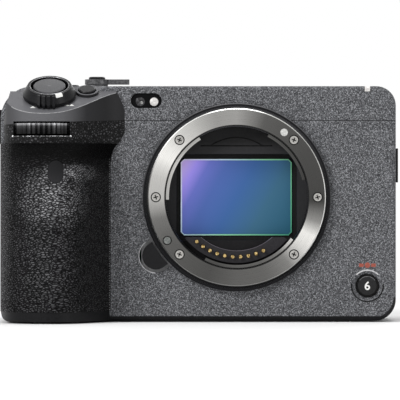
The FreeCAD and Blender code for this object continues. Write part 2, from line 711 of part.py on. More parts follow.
def stadium(name, centre, wide, tall, y):
    """An upright slot with round ends, through a span of depth."""
    across, up = centre
    middle_block = box(f"{name}_middle", (f"{across} - ({wide}) / 2", f"{across} + ({wide}) / 2"), y,
                       (f"{up} - ({tall} - ({wide})) / 2", f"{up} + ({tall} - ({wide})) / 2"))
    ends = [rod(f"{name}_{end}", "y", (across, f"{up} {sign} ({tall} - ({wide})) / 2"), y,
                f"({wide}) / 2") for end, sign in (("top", "+"), ("foot", "-"))]
    return join(name, middle_block, *ends)


GRIP_DEPTH = ("-panel_front - grip_reach - cover_wall", "-panel_front - nose_reach")
window_place = ("-window_across", "window_height")
window_hole = stadium("window_hole", window_place, "window_wide", "window_tall", GRIP_DEPTH)
node(cut("grip_cover", freeform("grip_skin", skin), window_hole))
node(cut("grip_frame", freeform("grip_liner", frame), window_hole))

# Both dark windows: one on the grip for infrared, one in the top cover for the front sensor.
window_slug = stadium("window_slug", window_place, "window_wide - 2 * fit_gap",
                      "window_tall - 2 * fit_gap", GRIP_DEPTH)
window_inner = freeform("window_inner", grip_loft(liner_inner, foot_height, joint_height))
window_outer = freeform("window_outer", grip_loft(size("fit_gap"), foot_height, joint_height))
grip_pane = keep("grip_pane", cut("grip_pane_back", window_slug, window_inner), window_outer)

PANEL_THROUGH = ("-panel_front - fit_gap", "-panel_front + cover_wall + fit_gap")
pane_left = "-pane_across - (pane_wide - pane_tall) / 2"
pane_right = "-pane_across + (pane_wide - pane_tall) / 2"


def lying_slot(name, inset, y):
    radius = f"pane_tall / 2 - {inset}"
    bar = box(f"{name}_bar", (pane_left, pane_right), y,
              (f"pane_height - ({radius})", f"pane_height + ({radius})"))
    return join(name, bar, rod(f"{name}_left", "y", (pane_left, "pane_height"), y, radius),
                rod(f"{name}_right", "y", (pane_right, "pane_height"), y, radius))


pane_recess = lying_slot("pane_recess", "0", PANEL_THROUGH)
top_pane = lying_slot("top_pane", "fit_gap",
                      ("-panel_front + leather_thick / 2", "-panel_front + cover_wall"))
node(group("window_panes", grip_pane, top_pane))

# Grip top: the black nose with the sloping deck, and the tongue that runs back to the top plate.
deck_wedge = above_deck("deck_wedge")
deck_lining = above_deck("deck_lining", "top_wall / cos(deck_tilt)")
inner_wall = size("top_wall")
nose_top = size("case_top")
nose_solid = freeform("nose_solid", nose_prism(0, joint_height, nose_top))
nose_room = freeform("nose_room", nose_prism(inner_wall, joint_height + inner_wall, nose_top))


def nose_corner(name, points):
    """What one corner of the nose loses, as seen from the front."""
    body = new_body(name)
    sketch = new_sketch(body, "XZ_Plane", f"{name}_side")
    draw_polygon(sketch, points)
    pad(body, sketch, f"{name}_pad", "panel_front + nose_reach")
    return body


nose_roof = "case_top + top_wall"
low_corner = nose_corner("low_corner", [
    ("-nose_inner - nose_flare", "grip_joint - fit_gap"), ("-nose_inner + top_wall", "grip_joint - fit_gap"),
    ("-nose_inner + top_wall", "grip_joint + nose_rise"), ("-nose_inner", "grip_joint + nose_rise")])
crest_corner = nose_corner("crest_corner", [
    ("-nose_inner", "deck_lip"), ("-nose_inner + top_wall", "deck_lip"),
    ("-nose_inner + top_wall", nose_roof), ("-nose_inner - nose_crest", nose_roof),
    ("-nose_inner - nose_crest", "deck_lip + crest_rise"),
    ("-nose_inner - nose_crest / 3", "deck_lip + crest_rise / 2")])
outer_corner = nose_corner("outer_corner", [
    ("-nose_outer", "deck_lip - nose_shoulder"), ("-nose_outer + nose_shoulder", "deck_lip + crest_rise"),
    ("-nose_outer + nose_shoulder", nose_roof), ("-nose_outer - top_wall", nose_roof),
    ("-nose_outer - top_wall", "deck_lip - nose_shoulder")])
TONGUE_X = ("-tongue_outer", "-tongue_end")
TONGUE_Y = ("-panel_front", "-tongue_back")
tongue_form = box("tongue_form", TONGUE_X, TONGUE_Y, ("seam_height", "case_top + cover_wall"))
tongue_solid = keep("tongue_solid", casing, tongue_form)
tongue_room = box("tongue_room", ("-tongue_outer + tongue_wall", "-tongue_end - tongue_wall"),
                  ("-panel_front - fit_gap", "-tongue_back - top_wall"),
                  ("seam_height - fit_gap", "case_top"))
deck_room = cut("deck_room", join("deck_space", nose_room, tongue_room), deck_lining)
dial_place = ("-dial_across", "-panel_front - dial_ahead")
dial_low = "dial_height - dial_thick / 2"
dial_high = "dial_height + dial_thick / 2"
dial_window = box("dial_window", ("-dial_across - dial_window", "-dial_across + dial_window"),
                  ("-panel_front - nose_reach - cover_wall", "-panel_front - dial_ahead - 2 * axle_radius"),
                  (f"{dial_low} - 2 * run_gap", f"{dial_high} + 2 * run_gap"))
dial_sweep = rod("dial_sweep", "z", dial_place, (f"{dial_low} - run_gap", f"{dial_high} + run_gap"),
                 "dial_radius + run_gap")
dial_axle = rod("dial_axle", "z", dial_place, ("grip_joint + top_wall / 2", f"{dial_high} + run_gap"),
                "axle_radius")
SHUTTER = ("shutter_across", "shutter_ahead")
DECK_BUTTON = ("deck_across", "deck_ahead")
HOLE_SPAN = ("-2 * top_wall", "top_wall")
lever_hole = tilted_rod("lever_hole", SHUTTER, *HOLE_SPAN, "zoom_bore + neck_wall + run_gap")
lever_well = tilted_rod("lever_well", SHUTTER, "0", "2 * zoom_tall", "zoom_radius + 2 * run_gap")
deck_collar = tilted_rod("deck_collar_ring", DECK_BUTTON, "-top_wall / 2", "collar_proud", "deck_collar")
collar_well = tilted_rod("collar_well", DECK_BUTTON, "-2 * top_wall", "2 * zoom_tall",
                         "deck_collar + fit_gap")
deck_hole = tilted_rod("deck_hole", DECK_BUTTON, *HOLE_SPAN, "deck_radius + run_gap")
nose_block = cut("nose_block", nose_solid, low_corner, crest_corner, outer_corner)
nose_blank = cut("nose_blank", join("nose_with_tongue", nose_block, tongue_solid), deck_wedge)
nose_shell = cut("nose_shell", join("nose_with_collar", nose_blank, deck_collar), deck_room, dial_sweep,
                 dial_window, lever_hole, deck_hole)
node(join("grip_top", nose_shell, dial_axle))

# Front dial: a knurled disc on the fixed upright axle, with its rim in the window.
def dial(name, x, y, z, radius, thick, bore):
    body = new_body(name)
    half = f"({thick}) / 2"
    disc = turn(body, name, [(bore, f"-{half}"), (radius, f"-{half}"), (radius, half), (bore, half)])
    document.recompute()
    notch = new_sketch(body, "XY_Plane", f"{name}_notch", f"-{half}")
    draw_polygon(notch, [(f"{radius} - knurl_deep", "0"), (radius, "-knurl_deep"),
                         (f"{radius} + knurl_deep", "0"), (radius, "knurl_deep")])
    groove = pocket(body, notch, f"{name}_groove", thick, towards_normal=True)
    teeth = body.newObject("PartDesign::PolarPattern", f"{name}_teeth")
    teeth.Originals = [groove]
    axis = [item for item in body.Origin.OriginFeatures if item.Role == "Z_Axis"][0]
    teeth.Axis = (axis, [""])
    teeth.Angle = 360
    teeth.Occurrences = DIAL_TEETH
    body.Tip = teeth
    place(body, UPRIGHT, x, y, z)
    document.recompute()
    assert teeth.Shape.Volume < disc.Shape.Volume - 0.1, name
    return body


node(dial("front_dial", *dial_place, "dial_height", "dial_radius", "dial_thick", "axle_radius + run_gap"))

# Shutter button, with the zoom lever round it: both stand square on the deck.
shutter_button = new_body("shutter_button")
turn(shutter_button, "shutter_button", [
    ("0", "-3 * top_wall"), ("axle_radius", "-3 * top_wall"), ("axle_radius", "shutter_travel + run_gap"),
    ("shutter_radius", "shutter_travel + run_gap"), ("shutter_radius", "shutter_tall - 2 * fit_gap"),
    ("shutter_radius - run_gap", "shutter_tall"), ("0", "shutter_tall + fit_gap")])
on_deck(shutter_button, *SHUTTER)
node(shutter_button)

lever_turned = new_body("lever_turned")
turn(lever_turned, "lever_turned", [
    ("axle_radius + run_gap", "-top_wall - run_gap"), ("zoom_bore + neck_wall", "-top_wall - run_gap"),
    ("zoom_bore + neck_wall", "run_gap"), ("zoom_radius", "run_gap"), ("zoom_radius", "zoom_foot"),
    ("zoom_rim", "zoom_tall"), ("zoom_bore", "zoom_tall"), ("zoom_bore", "-run_gap"),
    ("axle_radius + run_gap", "-run_gap")])
on_deck(lever_turned, *SHUTTER)

# The lever's finger ribs: upright slabs, kept inside a wider cone.
rib_slabs = new_body("rib_slabs")
slab_sketch = new_sketch(rib_slabs, "XY_Plane", "rib_slabs_plan", "run_gap")
for step in range(-2, 2):
    left = f"({step}) * 2 * rib_wide - rib_wide / 2"
    right = f"({step}) * 2 * rib_wide + rib_wide / 2"
    draw_polygon(slab_sketch, [(left, "-zoom_radius - 2 * rib_proud"),
                               (right, "-zoom_radius - 2 * rib_proud"),
                               (right, "-zoom_bore / 2"), (left, "-zoom_bore / 2")])
pad(rib_slabs, slab_sketch, "rib_slabs_pad", "zoom_tall")
on_deck(rib_slabs, *SHUTTER)
rib_cone = new_body("rib_cone")
turn(rib_cone, "rib_cone", [
    ("zoom_bore + fit_gap", "run_gap"), ("zoom_radius + rib_proud", "run_gap"),
    ("zoom_radius + rib_proud", "zoom_foot"), ("zoom_rim + rib_proud", "zoom_tall - fit_gap"),
    ("zoom_bore + fit_gap", "zoom_tall - fit_gap")])
on_deck(rib_cone, *SHUTTER)
node(join("zoom_lever", lever_turned, keep("finger_ribs", rib_slabs, rib_cone)))

# Deck button in its hole, with a flange under the deck that keeps it in.
def push_button(name, radius, top, flange_top, foot, travel_axis, centre):
    """A round cap with a flange behind the wall. The profile runs from the foot to the top."""
    body = new_body(name)
    turn(body, name, [
        ("0", foot), (f"{radius} + 2 * run_gap", foot), (f"{radius} + 2 * run_gap", flange_top),
        (radius, flange_top), (radius, f"{top} - run_gap"), (f"{radius} - run_gap", top), ("0", top)])
    if travel_axis == "top":
        place(body, UPRIGHT, centre[0], centre[1], "0")
    elif travel_axis == "front":
        place(body, FACING_FRONT, centre[0], "0", centre[1])
    elif travel_axis == "deck":
        on_deck(body, *centre)
    else:
        place(body, FACING_BACK, centre[0], "0", centre[1])
    return body


under_deck = "-top_wall - run_gap"
node(push_button("deck_button", "deck_radius", "deck_proud", under_deck, f"{under_deck} - key_flange",
                 "deck", DECK_BUTTON))

# Top cover, its holes, and what stands in them.
TOP_WALL = ("case_top - cover_wall - fit_gap", "case_top + fit_gap")
record_place = ("-record_across", "record_back")
TOP_BUTTONS = {"top_button_outer": "top_outer_across", "top_button_inner": "top_inner_across"}
SHOE_X = ("-shoe_wide / 2", "shoe_wide / 2")
SHOE_Y = ("case_back - shoe_long", "case_back")
shoe_floor_z = "case_top - shoe_deep"
TOP_SOCKETS = [("top_socket_right", "-top_socket_front"), ("top_socket_right", "top_socket_back"),
               ("-top_socket_left", "-top_socket_front")]
rear_dial_place = ("-rear_dial_across", "rear_dial_back")
rear_dial_low = "rear_dial_height - rear_dial_thick / 2"
rear_dial_high = "rear_dial_height + rear_dial_thick / 2"
rear_dial_slot = box("rear_dial_slot",
                     ("-rear_dial_across - rear_dial_window", "-rear_dial_across + rear_dial_window"),
                     ("case_back - cover_wall - fit_gap", "case_back + cover_wall"),
                     (f"{rear_dial_low} - 2 * run_gap", f"{rear_dial_high} + 2 * run_gap"))
rear_dial_sweep = rod("rear_dial_sweep", "z", rear_dial_place,
                      (f"{rear_dial_low} - run_gap", f"{rear_dial_high} + run_gap"),
                      "rear_dial_radius + run_gap")
COLLAR_RADIUS = "gimbal_outer + 4 * run_gap + cover_wall / 2"
stick_well = rod("stick_well", "y", ("-stick_across", "stick_height"),
                 ("case_back - cover_wall - fit_gap", "case_back + cover_wall"), COLLAR_RADIUS)
flap_well = box("flap_well", ("port_side - cover_wall - fit_gap", "port_side + cover_wall"),
                ("flap_front - run_gap", "flap_back + run_gap"), ("audio_low", "audio_high + run_gap"))
pod_well = box("pod_well", ("-pod_outer", "-pod_inner"),
               ("case_back - cover_wall / 2", "case_back + cover_wall"), ("stick_height", "pod_top"))
grip_socket_hole = rod("grip_socket_hole", "x", ("grip_socket_back", "grip_socket_height"),
                       ("-grip_side - cover_wall", "-grip_side + thread_deep + edge_round + fit_gap"),
                       "insert_radius + fit_gap")
port_socket_hole = rod("port_socket_hole", "x", ("-port_socket_front", "port_socket_height"),
                       ("port_side - thread_deep - edge_round - fit_gap", "port_side + fit_gap"),
                       "insert_radius + fit_gap")
rear_dial_axle = rod("rear_dial_axle", "z", rear_dial_place,
                     (f"{rear_dial_low} - run_gap", "case_top - cover_wall / 2"), "axle_radius")
top_block = cut("top_block", casing_slab("top_slab", ALL_DEPTH, ("seam_height", "case_top + cover_wall")),
                hollow)
shoe_well_outer = box("shoe_well_outer", ("-shoe_wide / 2 - cover_wall", "shoe_wide / 2 + cover_wall"),
                      ("case_back - shoe_long - cover_wall", "case_back - edge_round"),
                      ("case_top - shoe_deep - cover_wall", "case_top - edge_round"))
shoe_well = box("shoe_well", SHOE_X, ("case_back - shoe_long", "case_back + cover_wall"),
                (shoe_floor_z, "case_top + cover_wall"))
top_tools = [
    tongue_form, lever_well, collar_well, shoe_well, pane_recess, rear_dial_slot, rear_dial_sweep,
    dial_sweep, stick_well, pod_well, flap_well, grip_socket_hole, port_socket_hole,
    rod("record_hole", "z", record_place, TOP_WALL, "record_radius + 2 * run_gap + neck_wall"),
]
for name, across in TOP_BUTTONS.items():
    top_tools.append(rod(f"{name}_hole", "z", (f"-{across}", "top_button_back"), TOP_WALL,
                         "top_button_radius + run_gap"))
for number, (across, back) in enumerate(TOP_SOCKETS):
    top_tools.append(rod(f"top_socket_hole_{number}", "z", (across, back), TOP_WALL,
                         "insert_radius + fit_gap"))
tally_notch = box("tally_notch",
                  ("tally_across - tally_wide / 2 - fit_gap", "tally_across + tally_wide / 2 + fit_gap"),
                  ("-panel_front - cover_wall", "-panel_front + cover_wall + fit_gap"),
                  ("case_top - tally_tall - fit_gap", "case_top + cover_wall"))
tally_blank = box("tally_blank", ("tally_across - tally_wide / 2", "tally_across + tally_wide / 2"),
                  ("-panel_front - cover_wall", "-panel_front + cover_wall"),
                  ("case_top - tally_tall", "case_top + cover_wall"))
node(keep("tally_lamp", tally_blank, casing))
AXIS = ("0", "axis_height")
panel_hole = rod("panel_hole", "y", AXIS, PANEL_THROUGH, "bezel_radius + fit_gap")
top_shell = cut("top_shell", join("top_walls", top_block, shoe_well_outer), *top_tools, tally_notch,
                panel_hole)
node(join("top_cover", top_shell, rear_dial_axle))

node(dial("rear_dial", *rear_dial_place, "rear_dial_height", "rear_dial_radius", "rear_dial_thick",
          "axle_radius + run_gap"))


under_top = "case_top - cover_wall - run_gap"
for name, across in TOP_BUTTONS.items():
    node(push_button(name, "top_button_radius", "case_top + key_proud", under_top,
                     f"{under_top} - key_flange", "top", (f"-{across}", "top_button_back")))

# Top record button inside the power lever's ring.
record_button = new_body("record_button")
turn(record_button, "record_button", [
    ("0", "case_top - 3 * cover_wall"), ("axle_radius", "case_top - 3 * cover_wall"),
    ("axle_radius", "case_top - cover_wall / 2"), ("record_radius", "case_top - cover_wall / 2"),
    ("record_radius", "case_top + record_proud - run_gap"),
    ("record_radius - run_gap", "case_top + record_proud"), ("0", "case_top + record_proud")])
place(record_button, UPRIGHT, *record_place)
node(record_button)

power_low = "case_top + power_rise"
power_high = "case_top + power_rise + power_tall"
power_arm = box("power_arm",
                ("-record_across + power_radius - cover_wall / 2", "-record_across + power_reach"),
                ("record_back - power_wide / 2", "record_back + power_wide / 2"), (power_low, power_high))
power_ring = rod("power_ring", "z", record_place, (power_low, power_high), "power_radius")
power_neck = rod("power_neck", "z", record_place, ("case_top - cover_wall - run_gap", power_high),
                 "record_radius + run_gap + neck_wall")
power_bore = rod("power_bore", "z", record_place, ("case_top - 2 * cover_wall", "case_top + 2 * cover_wall"),
                 "record_radius + run_gap")
node(cut("power_lever", join("power_blank", power_ring, power_neck, power_arm), power_bore))

# Accessory shoe: a bent plate in the top cover's well, open towards the back.
shoe_block = box("shoe_block", ("-shoe_wide / 2 + fit_gap", "shoe_wide / 2 - fit_gap"),
                 ("case_back - shoe_long + fit_gap", "case_back - edge_round"),
                 (shoe_floor_z, "case_top - fit_gap"))
shoe_channel = box("shoe_channel", ("-shoe_slot / 2", "shoe_slot / 2"),
                   ("case_back - shoe_long + shoe_floor + fit_gap", "case_back + cover_wall"),
                   (f"{shoe_floor_z} + shoe_floor", f"{shoe_floor_z} + shoe_floor + shoe_height"))
shoe_opening = box("shoe_opening", ("-shoe_throat / 2", "shoe_throat / 2"),
                   ("case_back - shoe_long + shoe_floor + fit_gap", "case_back + cover_wall"),
                   (f"{shoe_floor_z} + shoe_floor", "case_top + cover_wall"))
node(cut("accessory_shoe", shoe_block, shoe_channel, shoe_opening))

# Lens mount: black bezel in the panel, steel ring with three bayonet tabs, and what sits in them.
screw_places = [polar("screw_circle", angle) for angle in SCREW_ANGLES]
lock_place = polar("lock_circle", "lock_angle")
TAB_DEPTH = ("-flange_front + tab_depth", "-flange_front + tab_depth + tab_thick")


def release_slot(name, gap, depth):
    """The slanted slot of the release button, from the bezel outwards, with a round end."""
    width = f"release_width + 2 * ({gap})"
    end = polar("release_reach - release_width / 2", "release_angle")
    bar = document.addObject("Part::Box", f"{name}_bar")
    turned = FACING_FRONT.multiply(Rotation(Vector(0, 0, 1), size("release_angle")))
    bar.Placement = FreeCAD.Placement(Vector(0, 0, 0), turned)
    corner_x = (f"(bezel_radius - cover_wall) * cos(release_angle)"
                f" + ({width}) / 2 * sin(release_angle)")
    corner_z = (f"axis_height + (bezel_radius - cover_wall) * sin(release_angle)"
                f" - ({width}) / 2 * cos(release_angle)")
    bind(bar, "Placement.Base.x", corner_x)
    bind(bar, "Placement.Base.y", depth[1])
    bind(bar, "Placement.Base.z", corner_z)
    bind(bar, "Length", "release_reach - release_width / 2 - bezel_radius + cover_wall")
    bind(bar, "Width", width)
    bind(bar, "Height", f"({depth[1]}) - ({depth[0]})")
    return join(name, bar, rod(f"{name}_end", "y", end, depth, f"({width}) / 2"))


bezel_turned = new_body("bezel_turned")
turn(bezel_turned, "bezel_turned", [
    ("throat_radius - run_gap", "chassis_front"), ("bezel_foot", "chassis_front"),
    ("bezel_foot", "panel_front - cover_wall"), ("bezel_radius", "panel_front - cover_wall"),
    ("bezel_radius", "panel_front + bezel_proud - flange_chamfer"),
    ("bezel_radius - flange_chamfer", "panel_front + bezel_proud"),
    ("bezel_radius - bezel_rim", "panel_front + bezel_proud"),
    ("bezel_radius - bezel_rim", "panel_front + bezel_proud - bezel_rim"),
    ("flange_radius + fit_gap", "panel_front + bezel_proud - bezel_rim"),
    ("flange_radius + fit_gap", "flange_front - flange_thick"),
    ("throat_radius - run_gap", "flange_front - flange_thick")])
place(bezel_turned, FACING_FRONT, "0", "0", "axis_height")
release_pit = release_slot("release_pit", "release_gap",
                           ("-panel_front + cover_wall", "-chassis_front + fit_gap"))
lock_bore = rod("lock_bore", "y", lock_place, ("-flange_front - fit_gap", "0"), "lock_radius + run_gap")
screw_bores = [rod(f"screw_bore_{number}", "y", spot, ("-flange_front - fit_gap", "0"), "screw_shank")
               for number, spot in enumerate(screw_places)]
node(cut("mount_bezel", bezel_turned, release_pit, lock_bore, *screw_bores))

steel_ring = new_body("steel_ring")
turn(steel_ring, "steel_ring", [
    ("throat_radius", "flange_front"), ("flange_radius - flange_chamfer", "flange_front"),
    ("flange_radius", "flange_front - flange_chamfer"), ("flange_radius", "flange_front - flange_thick"),
    ("throat_radius + channel_deep", "flange_front - flange_thick"),
    ("throat_radius + channel_deep", "flange_front - tab_depth"),
    ("throat_radius", "flange_front - tab_depth")])
place(steel_ring, FACING_FRONT, "0", "0", "axis_height")
tabs = []
for number, (start, sweep) in enumerate(TAB_SECTORS):
    sector = rod(f"tab_sector_{number}", "y", AXIS, TAB_DEPTH, "throat_radius + cover_wall", start, sweep)
    tabs.append(sector)
tab_bore = rod("tab_bore", "y", AXIS, ("-flange_front", "0"), "tab_inner")
tab_grooves = cut("tab_grooves",
                  rod("groove_outer", "y", AXIS, (TAB_DEPTH[0], f"{TAB_DEPTH[0]} + tab_groove"),
                      "throat_radius + channel_deep"),
                  rod("groove_inner", "y", AXIS, ("-flange_front", "0"), "throat_radius - run_gap"))
screw_heads = [rod(f"screw_head_hole_{number}", "y", spot,
                   ("-flange_front - fit_gap", "-flange_front + screw_sunk"), "screw_head + head_gap")
               for number, spot in enumerate(screw_places)]
node(cut("lens_mount", join("ring_with_tabs", steel_ring, *tabs), tab_bore, tab_grooves, lock_bore,
         *screw_bores, *screw_heads))

# Mount screws: a sunk head with a cross slot, and a shank through ring, bezel and chassis.
screws = []
for number, spot in enumerate(screw_places):
    head = rod(f"mount_screw_head_{number}", "y", spot,
               ("-flange_front + fit_gap", "-flange_front + screw_sunk"), "screw_head")
    shank = rod(f"mount_screw_shank_{number}", "y", spot,
                ("-flange_front + screw_sunk - fit_gap", "-chassis_front + chassis_thick"),
                "screw_shank - fit_gap / 2")
    across, up = spot
    reach = "cross_reach"
    slots = [
        box(f"cross_{number}_flat", (f"{across} - {reach}", f"{across} + {reach}"),
            ("-flange_front", "-flange_front + screw_sunk / 2"),
            (f"{up} - cross_wide / 2", f"{up} + cross_wide / 2")),
        box(f"cross_{number}_tall", (f"{across} - cross_wide / 2", f"{across} + cross_wide / 2"),
            ("-flange_front", "-flange_front + screw_sunk / 2"), (f"{up} - {reach}", f"{up} + {reach}"))]
    screws.append(cut(f"mount_screw_{number}", join(f"mount_screw_blank_{number}", head, shank), *slots))
node(group("mount_screws", *screws))

# Release button and the lock pin that it draws back.
button_place = release_slot("release_blank", "0", ("-panel_front - bezel_proud + 2 * run_gap",
                                                   "-chassis_front - run_gap - release_travel"))
bezel_clearance = rod("bezel_clearance", "y", AXIS, ("-flange_front - cover_wall", "0"),
                      "bezel_radius + 2 * run_gap")
node(cut("release_button", button_place, bezel_clearance))
node(rod("lock_pin", "y", lock_place,
         ("-flange_front - lock_proud", "-chassis_front - run_gap - lock_travel"), "lock_radius"))

# Contact block with its ten sprung pins.
BLOCK_DEPTH = ("-flange_front + 2 * contact_sunk", "-chassis_front")
block_sector = rod("block_sector", "y", AXIS, BLOCK_DEPTH, "contact_outer", size("block_first"),
                   size("block_sweep"))
block_core = rod("block_core", "y", AXIS, ("-flange_front", "0"), "contact_inner")
block_flat = box("block_flat", ("-contact_outer", "contact_outer"), ("-flange_front", "0"),
                 ("axis_height - gate_tall / 2 - fit_gap", "axis_height"))
pins = []
pin_holes = []
for index in range(CONTACT_COUNT):
    spot = polar("contact_circle", f"contact_first + {index} * contact_pitch")
    pins.append(rod(f"contact_pin_{index}", "y", spot,
                    ("-flange_front + contact_sunk", "-chassis_front - run_gap - contact_travel"),
                    "contact_radius"))
    pin_holes.append(rod(f"pin_hole_{index}", "y", spot, ("-flange_front", "-chassis_front - fit_gap"),
                         "contact_radius + run_gap / 2"))
node(cut("contact_block", block_sector, block_core, block_flat, *pin_holes))
node(group("contact_pins", *pins))

# Front cover: panel, sides, the mount's hole, and the front record button's dish.
start_place = ("start_across", "start_height")
START_DISH = ("-panel_front - fit_gap", "-panel_front + start_dish_deep")
start_dish = cone("start_dish", "y", start_place, START_DISH, "start_dish", "start_well")
start_well = rod("start_well", "y", start_place, PANEL_THROUGH, "start_well")
front_block = cut("front_block", casing_slab("front_slab", ("-panel_front - cover_wall", "cover_split"),
                                             ("band_top", "seam_height")), hollow)
DOOR_X = ("-battery_side - door_margin", "-battery_side + battery_wide + door_margin")
DOOR_Y = ("-battery_front - door_margin", "battery_deep - battery_front + door_margin")
DOOR_Z = ("grip_lift", "grip_lift + door_thick")
door_axis_x = "-battery_side + battery_wide + door_margin - door_thick / 2"
door_axis_z = "grip_lift + door_thick / 2"
door_opening = box("door_opening", (f"{DOOR_X[0]} - run_gap", f"{DOOR_X[1]} + run_gap"),
                   (f"{DOOR_Y[0]} - run_gap", f"{DOOR_Y[1]} + run_gap"),
                   ("-cover_wall", "grip_foot + fit_gap"))
front_bosses = []
BOSS_SPAN = ("band_top", "band_top + case_screw_long")
FRONT_BOSSES = [("boss_right", "-boss_front"), ("-boss_left", "-boss_front")]
REAR_BOSSES = [("boss_right", "boss_back"), ("-boss_middle", "boss_back")]


def boss(name, spot):
    post = rod(name, "z", spot, BOSS_SPAN, "boss_radius")
    return cut(f"{name}_drilled", post, rod(f"{name}_hole", "z", spot, BOSS_SPAN, "case_screw_shank"))


def boss_web(name, spot, wall_y):
    """A rib from a boss to the wall beside it."""
    low, high = (wall_y, spot[1]) if wall_y.startswith("-") else (spot[1], wall_y)
    rib = box(name, (f"{spot[0]} - case_screw_shank", f"{spot[0]} + case_screw_shank"), (low, high),
              BOSS_SPAN)
    return cut(f"{name}_cut", rib, rod(f"{name}_clear", "z", spot, BOSS_SPAN, "boss_radius - fit_gap"))


for number, spot in enumerate(FRONT_BOSSES):
    front_bosses.append(boss(f"front_boss_{number}", spot))
    front_bosses.append(boss_web(f"front_web_{number}", spot, "-panel_front + cover_wall / 2"))
battery_bay = box("battery_bay",
                  ("-battery_side - door_margin", "-battery_side + battery_wide + door_margin"),
                  ("-panel_front - cover_wall", "cover_split + fit_gap"),
                  ("band_top", "battery_low + battery_tall + fit_gap"))
panel_slot = release_slot("panel_slot", "release_gap", PANEL_THROUGH)
grille = []
for index in range(GRILLE_COUNT):
    low = f"grille_low + {index} * grille_pitch"
    grille.append(box(f"grille_slot_{index}", ("port_side - cover_wall - fit_gap", "port_side + fit_gap"),
                      ("-grille_front", "-grille_back"), (low, f"{low} + grille_slot")))
front_shell = cut("front_shell", front_block, panel_hole, panel_slot, start_dish, start_well, battery_bay,
                  door_opening, dial_sweep, pane_recess, collar_well, port_socket_hole, *grille)
node(join("front_cover", front_shell, *front_bosses))

# Front record button, kept in by its flange behind the panel.
front_record = push_button("front_record_button", "start_radius", "panel_front - run_gap",
                           "panel_front - cover_wall - run_gap",
                           "panel_front - cover_wall - run_gap - key_flange",
                           "front", start_place)
node(front_record)

# Base cover: the black band under both covers, with the grip's base cap and the battery door's opening.
cap_inset = size("run_gap")
cap_wire = plan_wire(GRIP_PLAN, size("grip_inner") + cap_inset, size("grip_side") - cap_inset,
                     GRIP_LEVELS[0][1] * size("grip_reach") - cap_inset, size("grip_lift"))
cap_rise = size("grip_foot") - size("grip_lift")
cap_block = freeform("cap_block", Part.Face(cap_wire).extrude(Vector(0, 0, cap_rise)))
cap_depth = ("-panel_front - grip_reach", "-panel_front + cover_wall")
cap_side = "-grip_side + run_gap + cap_round"
cap_level = "grip_lift + cap_round"
cap_rounding = rod("cap_rounding", "y", (cap_side, cap_level), cap_depth, "cap_round")
cap_corner = box("cap_corner", ("-grip_side - cover_wall", cap_side), cap_depth,
                 ("grip_lift - cover_wall", cap_level))
grip_cap = cut("grip_cap", cap_block, cut("cap_edge", cap_corner, cap_rounding))
band = casing_slab("band", ALL_DEPTH, ("0", "band_top"))
base_tools = [door_opening,
              rod("tripod_hole", "z", ("0", "0"), ("-cover_wall", "cover_wall"), "tripod_radius + fit_gap")]
for number, spot in enumerate(FRONT_BOSSES + REAR_BOSSES):
    base_tools.append(rod(f"base_screw_hole_{number}", "z", spot, ("-cover_wall", "cover_wall + fit_gap"),
                          "case_screw_head + fit_gap"))
node(cut("base_cover", join("base_blank", band, grip_cap), *base_tools))

# Battery door: a plate with a barrel along its hinge, and a battery behind it.
door_plate = box("door_plate", (DOOR_X[0], door_axis_x), DOOR_Y, DOOR_Z)
door_barrel = rod("door_barrel", "y", (door_axis_x, door_axis_z), DOOR_Y, "door_thick / 2")
node(join("battery_door", door_plate, door_barrel))
node(box("battery", ("-battery_side", "-battery_side + battery_wide"),
         ("-battery_front", "battery_deep - battery_front"), ("battery_low", "battery_low + battery_tall")))

# Base screws, sunk in the base cover and turned into the covers' bosses.
case_screws = []
for number, spot in enumerate(FRONT_BOSSES + REAR_BOSSES):
    head = rod(f"base_screw_head_{number}", "z", spot, ("case_bottom + fit_gap", "band_top"),
               "case_screw_head")
    shank = rod(f"base_screw_shank_{number}", "z", spot, ("band_top - fit_gap", "case_screw_long"),
                "case_screw_shank - fit_gap / 2")
    case_screws.append(join(f"base_screw_{number}", head, shank))
node(group("cover_screws", *case_screws))
feet_places = [(("-foot_grip", "-foot_nose"), "grip_lift"),
               (("foot_port", "foot_inset - panel_front"), "case_bottom"),
               (("foot_port", "case_back - foot_inset"), "case_bottom"),
               (("-foot_grip", "case_back - foot_inset"), "case_bottom")]
feet = [rod(f"foot_{number}", "z", spot, ("0", sole), "foot_radius")
        for number, (spot, sole) in enumerate(feet_places)]
node(group("base_feet", *feet))

# Chassis: a plate behind the mount with four legs that carry the sensor base and the board.
ALL_FRAMES = ("-chassis_half", "chassis_half")
chassis_top = "axis_height + chassis_rise"
chassis_plate = box("chassis_plate", ALL_FRAMES, ("-chassis_front", "-chassis_front + chassis_thick"),
                    ("chassis_low", chassis_top))
LEG_LEVELS = (("chassis_low", "chassis_low + leg_wide"), (f"{chassis_top} - leg_wide", chassis_top))
SENSOR_BACK = "-sensor_front + sensor_deep"
FRAME_DEPTH = (f"{SENSOR_BACK} + run_gap", f"{SENSOR_BACK} + run_gap + carrier_thick")
BASE_DEPTH = (f"{SENSOR_BACK} + 2 * run_gap + carrier_thick",
              f"{SENSOR_BACK} + 2 * run_gap + 2 * carrier_thick")
legs = []
standoffs = []
for number, level in enumerate(LEG_LEVELS):
    for side, across in (("grip", ("-chassis_half", "-chassis_half + leg_wide")),
                         ("port", ("chassis_half - leg_wide", "chassis_half"))):
        legs.append(box(f"leg_{side}_{number}", across,
                        ("-chassis_front + chassis_thick / 2", BASE_DEPTH[0]), level))
        standoffs.append(box(f"standoff_{side}_{number}", across,
                             (f"{BASE_DEPTH[1]} - fit_gap", "board_front"), level))
chassis_window = rod("chassis_window", "y", AXIS, ("-chassis_front - fit_gap", "0"), "throat_radius")
chassis_bores = [rod(f"chassis_bore_{number}", "y", spot, ("-chassis_front - fit_gap", "0"), "screw_shank")
                 for number, spot in enumerate(screw_places)]
